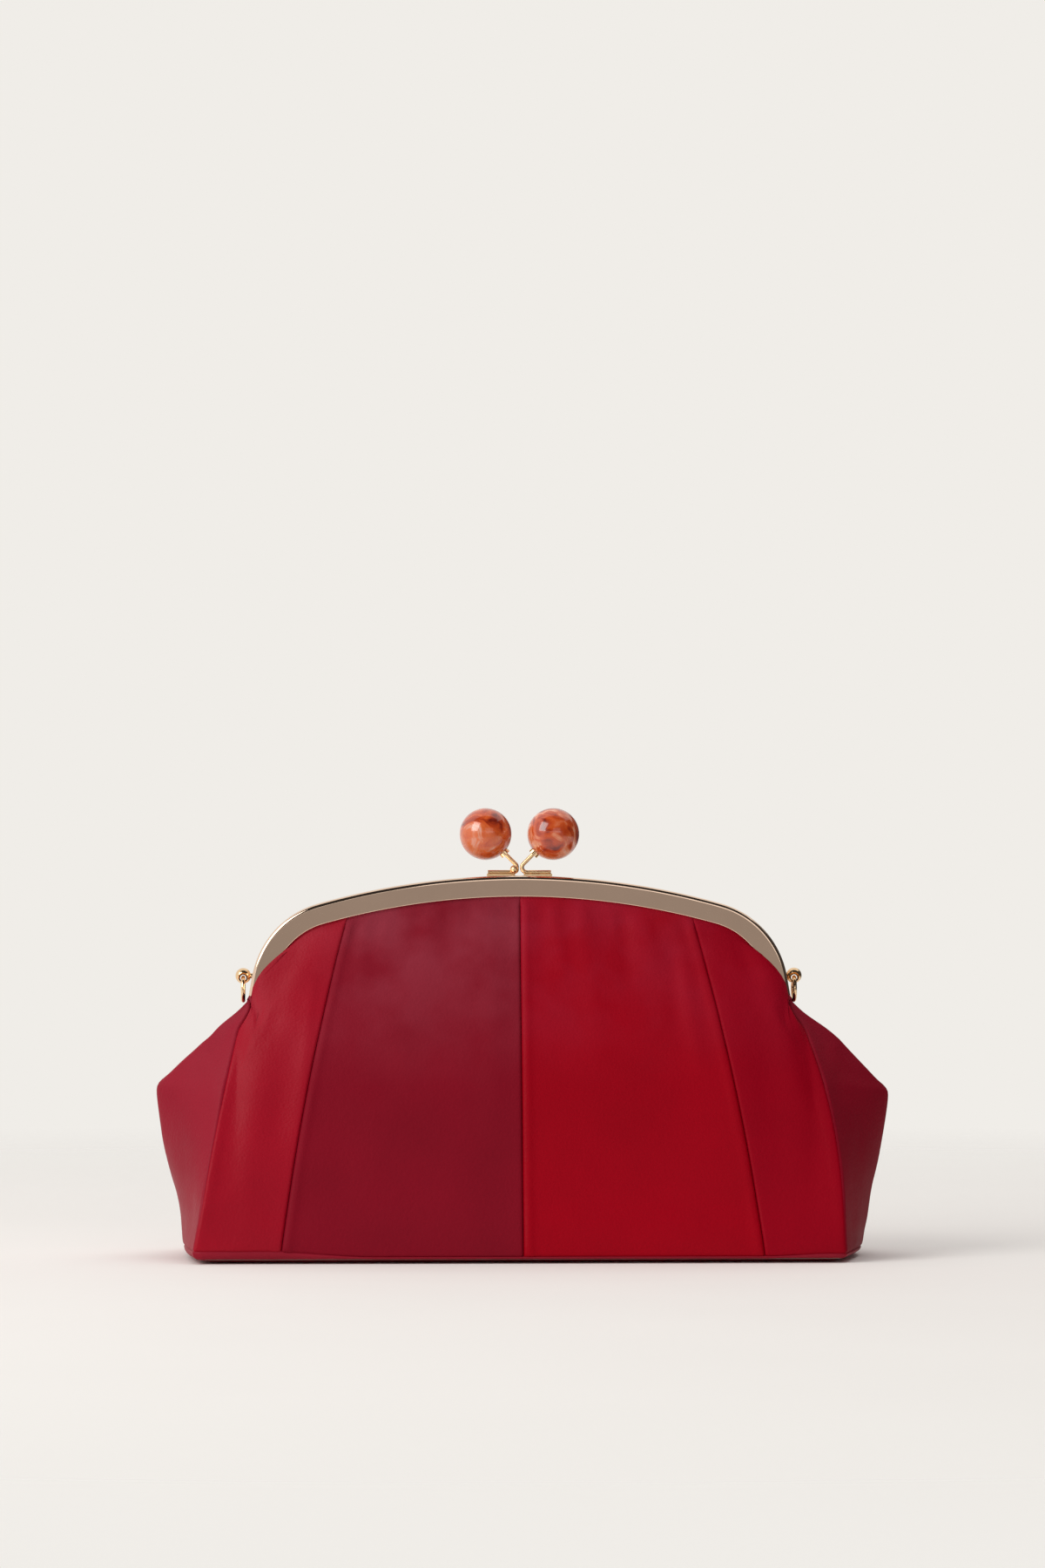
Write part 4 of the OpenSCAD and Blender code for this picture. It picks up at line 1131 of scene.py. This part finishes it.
# %% Marbled resin
def marbled_resin(name, seed_shift, warm):
    resin = Finish(name)
    shift = resin.add("ShaderNodeMapping")
    shift.inputs["Location"].default_value = seed_shift
    resin.join(resin.coords, shift.inputs["Vector"])
    stir = resin.add("ShaderNodeTexNoise", Scale=44.0, Detail=2.0)
    resin.join(shift.outputs["Vector"], stir.inputs["Vector"])
    push = resin.add("ShaderNodeVectorMath")
    push.operation = "MULTIPLY_ADD"
    push.inputs[1].default_value = (0.045, 0.045, 0.045)
    resin.join(stir.outputs["Color"], push.inputs[0])
    resin.join(shift.outputs["Vector"], push.inputs[2])
    swirl = resin.noise(66, 5.0, push.outputs["Vector"], 2.0)
    tone = resin.ramp(swirl, [(0.31, srgb(122, 28, 10)), (0.41, srgb(186, 62, 18)),
                              (0.51, srgb(212, 88, 34)), (0.60, srgb(*warm)),
                              (0.67, srgb(232, 164, 140)), (0.76, srgb(248, 222, 220))])
    resin.join(tone, resin.shader.inputs["Base Color"])
    veins = resin.noise(260, 4, push.outputs["Vector"], 2.2)
    resin.join(resin.span(veins, 0.16, 0.3), resin.shader.inputs["Roughness"])
    resin.set(Coat_Weight=1.0, Coat_Roughness=0.03, Specular_IOR_Level=0.5,
              Subsurface_Weight=0.05, Subsurface_Scale=0.002)
    return resin.material


SEAT_SHARE = 0.982


def turned_ball(name, node, stem_way, material, body):
    """A ball with a small flat seat where the rod's cup meets it."""
    lo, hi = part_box(node)
    centre, radius = (lo + hi) / 2, (hi.x - lo.x) / 2
    bm = bmesh.new()
    bmesh.ops.create_icosphere(bm, subdivisions=6, radius=radius)
    way = Vector(stem_way).normalized()
    seat = radius * SEAT_SHARE
    for vertex in bm.verts:
        along = vertex.co.dot(way)
        if along > seat:
            vertex.co -= way * (along - seat)
        vertex.co += centre
    for face in bm.faces:
        face.smooth = True
    mesh = bpy.data.meshes.new(name)
    bm.to_mesh(mesh)
    bm.free()
    ball = link(name, mesh)
    mesh.materials.append(material)
    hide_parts(node)
    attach(ball, body)
    return ball


for ball_node, body in (("front_ball", "front_half"), ("rear_ball", "rear_half")):
    lo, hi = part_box(ball_node)
    side = 1 if lo.x + hi.x > 0 else -1
    look = (marbled_resin("rust_resin", (0.011, 0.004, 0.0), (224, 108, 50)) if side < 0
            else marbled_resin("rose_resin", (0.043, 0.029, 0.017), (236, 150, 112)))
    turned_ball(f"{ball_node}_turned", ball_node, (-side, 0, -1), look, body)
    print(ball_node, "across, mm:", round((hi.x - lo.x) / MM, 2))

# %% [markdown]
# The rods, cups, ears, rings and rivets are small turned and bent pieces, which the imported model
# already makes finely enough. They keep its meshes and get only a finish: a satin one for the
# rods, which show no sharp reflections in the photograph, and a polish for the rest. The paper
# cords and the stiff board are hidden in the closed bag, and are plain paper and grey board.

# %% Finishes of the nodes that stay as packed
for node_name, node_obj in nodes.items():
    if any(word in node_name for word in ("rod", "cup", "ear", "ring", "rivet")):
        node_obj.data.materials.clear()
        node_obj.data.materials.append(satin_gold if "rod" in node_name else warm_gold)


def plain_paper(name, colour, grain, height):
    paper = Finish(name)
    tone = paper.ramp(paper.noise(grain, 4), [(0.3, shade(colour, 0.85)), (0.7, shade(colour, 1.08))])
    paper.join(tone, paper.shader.inputs["Base Color"])
    paper.join(paper.bump(paper.noise(grain * 3, 4), 0.4, height), paper.shader.inputs["Normal"])
    paper.set(Roughness=0.85)
    return paper.material


cord_paper = plain_paper("cord_paper", srgb(214, 200, 170), 700, 0.1)
grey_board = plain_paper("grey_board", srgb(150, 142, 132), 220, 0.15)
for node_name, look in (("front_channel_cord", cord_paper), ("rear_channel_cord", cord_paper),
                        ("base_board", grey_board)):
    nodes[node_name].data.materials.clear()
    nodes[node_name].data.materials.append(look)

# %% [markdown]
# The photograph is a product shot on a pale seamless sweep: one big soft light from the left,
# and a weaker fill. The floor fades into the world's colour before it ends, so that there is no
# horizon. The frame's face mirrors the dim room behind the camera, so a card stands there, which
# only mirrors see. Darker cards overhead and at the right do the same for the frame's rounded
# edges, and one of them also keeps the world's light off the right gusset.

# %% Floor
FLOOR_SIDE = 2600.0
across_floor = np.linspace(-FLOOR_SIDE / 2, FLOOR_SIDE / 2, 3)
floor = grid_object("Floor", np.array([[(x, y, 0.0) for x in across_floor] for y in across_floor]))
sweep = Finish("floor_sweep")
away = sweep.add("ShaderNodeVectorMath")
away.operation = "LENGTH"
sweep.join(sweep.coords, away.inputs[0])
clear = sweep.add("ShaderNodeBsdfTransparent")
mixer = sweep.add("ShaderNodeMixShader")
sweep.join(sweep.span(away.outputs["Value"], 0.0, 1.0, 0.15, 1.0), mixer.inputs[0])
sweep.join(sweep.shader.outputs["BSDF"], mixer.inputs[1])
sweep.join(clear.outputs["BSDF"], mixer.inputs[2])
sweep.join(mixer.outputs["Shader"], sweep.tree.nodes["Material Output"].inputs["Surface"])
floor_tone = sweep.ramp(sweep.noise(6, 2), [(0.3, srgb(249, 246, 242)), (0.7, srgb(251, 248, 244))])
sweep.join(floor_tone, sweep.shader.inputs["Base Color"])
sweep.set(Roughness=0.8, Specular_IOR_Level=0.2)
floor.data.materials.append(sweep.material)

# %% World: pale to the eye and to mirrors, weaker as a light
BACKGROUND = srgb(240, 237, 232)
FILL, FILL_LEVEL = srgb(244, 240, 238), 0.51
world = bpy.data.worlds.new("studio")
scene.world = world
world.use_nodes = True
world_nodes, world_join = world.node_tree.nodes, world.node_tree.links.new
seen = world_nodes["Background"]
seen.inputs["Color"].default_value = BACKGROUND
seen.inputs["Strength"].default_value = 1.0
fill = world_nodes.new("ShaderNodeBackground")
fill.inputs["Color"].default_value = FILL
fill.inputs["Strength"].default_value = FILL_LEVEL
path = world_nodes.new("ShaderNodeLightPath")
in_sight = path.outputs["Is Camera Ray"]
for ray in ("Is Glossy Ray", "Is Transmission Ray"):
    either = world_nodes.new("ShaderNodeMath")
    either.operation = "MAXIMUM"
    world_join(in_sight, either.inputs[0])
    world_join(path.outputs[ray], either.inputs[1])
    in_sight = either.outputs[0]
choice = world_nodes.new("ShaderNodeMixShader")
world_join(in_sight, choice.inputs[0])
world_join(fill.outputs[0], choice.inputs[1])
world_join(seen.outputs[0], choice.inputs[2])
world_join(choice.outputs[0], world_nodes["World Output"].inputs["Surface"])


# %% Lights and mirror cards
def soft_light(name, place, aim, size, watts, colour=(1, 1, 1)):
    lamp = bpy.data.lights.new(name, "AREA")
    lamp.shape = "RECTANGLE"
    lamp.size, lamp.size_y = size
    lamp.energy = watts
    lamp.color = colour
    obj = bpy.data.objects.new(name, lamp)
    scene.collection.objects.link(obj)
    obj.location = place
    obj.rotation_euler = (Vector(aim) - Vector(place)).to_track_quat("-Z", "Y").to_euler()
    return obj


bag_middle = (0, 0, 0.08)
soft_light("key_left", (-1.35, -1.0, 1.15), bag_middle, (1.1, 1.3), 19, (1.0, 0.985, 0.97))
top_soft = soft_light("top_soft", (0.1, 0.3, 1.7), bag_middle, (1.6, 1.2), 9.5)
top_soft.visible_glossy = False
soft_light("low_front", (0.5, -1.9, 0.7), bag_middle, (1.2, 0.8), 2, (1.0, 0.97, 0.95))


def mirror_card(name, place, aim, size, level, tint, shades=False):
    """A card that only mirrors see, such as the dim room behind the camera. One that shades
    keeps the world's light from the object too."""
    corners = np.array([[(-size[0] / 2, -size[1] / 2, 0), (size[0] / 2, -size[1] / 2, 0)],
                        [(-size[0] / 2, size[1] / 2, 0), (size[0] / 2, size[1] / 2, 0)]]) / MM
    card = grid_object(name, corners)
    turn = (Vector(aim) - Vector(place)).to_track_quat("Z", "Y").to_matrix().to_4x4()
    card.data.transform(turn)
    for vertex in card.data.vertices:
        vertex.co += Vector(place)
    paint = Finish(name)
    glow = paint.add("ShaderNodeEmission", Strength=level)
    glow.inputs["Color"].default_value = tint
    paint.join(glow.outputs[0], paint.tree.nodes["Material Output"].inputs["Surface"])
    card.data.materials.append(paint.material)
    card.visible_camera = False
    card.visible_diffuse = shades
    card.visible_shadow = False
    return card


mirror_card("room_card", (0, -2.7, -0.7), (0, 0, 0.1), (5.0, 2.8), 0.34, (1.0, 0.93, 0.88, 1))
mirror_card("ceiling_low", (0, -2.3, 1.55), (0, 0, 0.1), (4.6, 1.7), 0.03, (1.0, 0.9, 0.85, 1))
mirror_card("ceiling_high", (0, -0.95, 2.55), (0, 0, 0.1), (4.6, 1.9), 0.03, (1.0, 0.9, 0.85, 1))
mirror_card("right_flag", (1.5, -0.4, 0.68), (0, 0, 0.1), (2.4, 1.7), 0.05, (1.0, 0.92, 0.88, 1), True)
mirror_card("right_back", (1.9, 1.6, 0.35), (0, 0, 0.1), (2.8, 2.2), 0.08, (1.0, 0.9, 0.88, 1))

# %% [markdown]
# The photograph shows almost no perspective, and the base is seen as a thin line. That is a long
# lens far away, at the height of the balls. It stands a little to the left, which shows a little
# more of the left gusset than of the right one.

# %% Camera
VIEW_DISTANCE = 2.2
LENS_HEIGHT = 0.16
TURN = math.radians(-2)
PICTURE_HEIGHT = 0.601
AIM = Vector((0.0012, 0, 0.1805))
lens = bpy.data.cameras.new("camera")
camera = bpy.data.objects.new("camera", lens)
scene.collection.objects.link(camera)
camera.location = (math.sin(TURN) * VIEW_DISTANCE, -math.cos(TURN) * VIEW_DISTANCE, LENS_HEIGHT)
camera.rotation_euler = (AIM - camera.location).to_track_quat("-Z", "Y").to_euler()
lens.lens = 36 * VIEW_DISTANCE / PICTURE_HEIGHT
scene.camera = camera
scene.view_settings.view_transform = "Standard"
print("lens, mm:", round(lens.lens, 1), "camera at:", [round(v, 3) for v in camera.location])
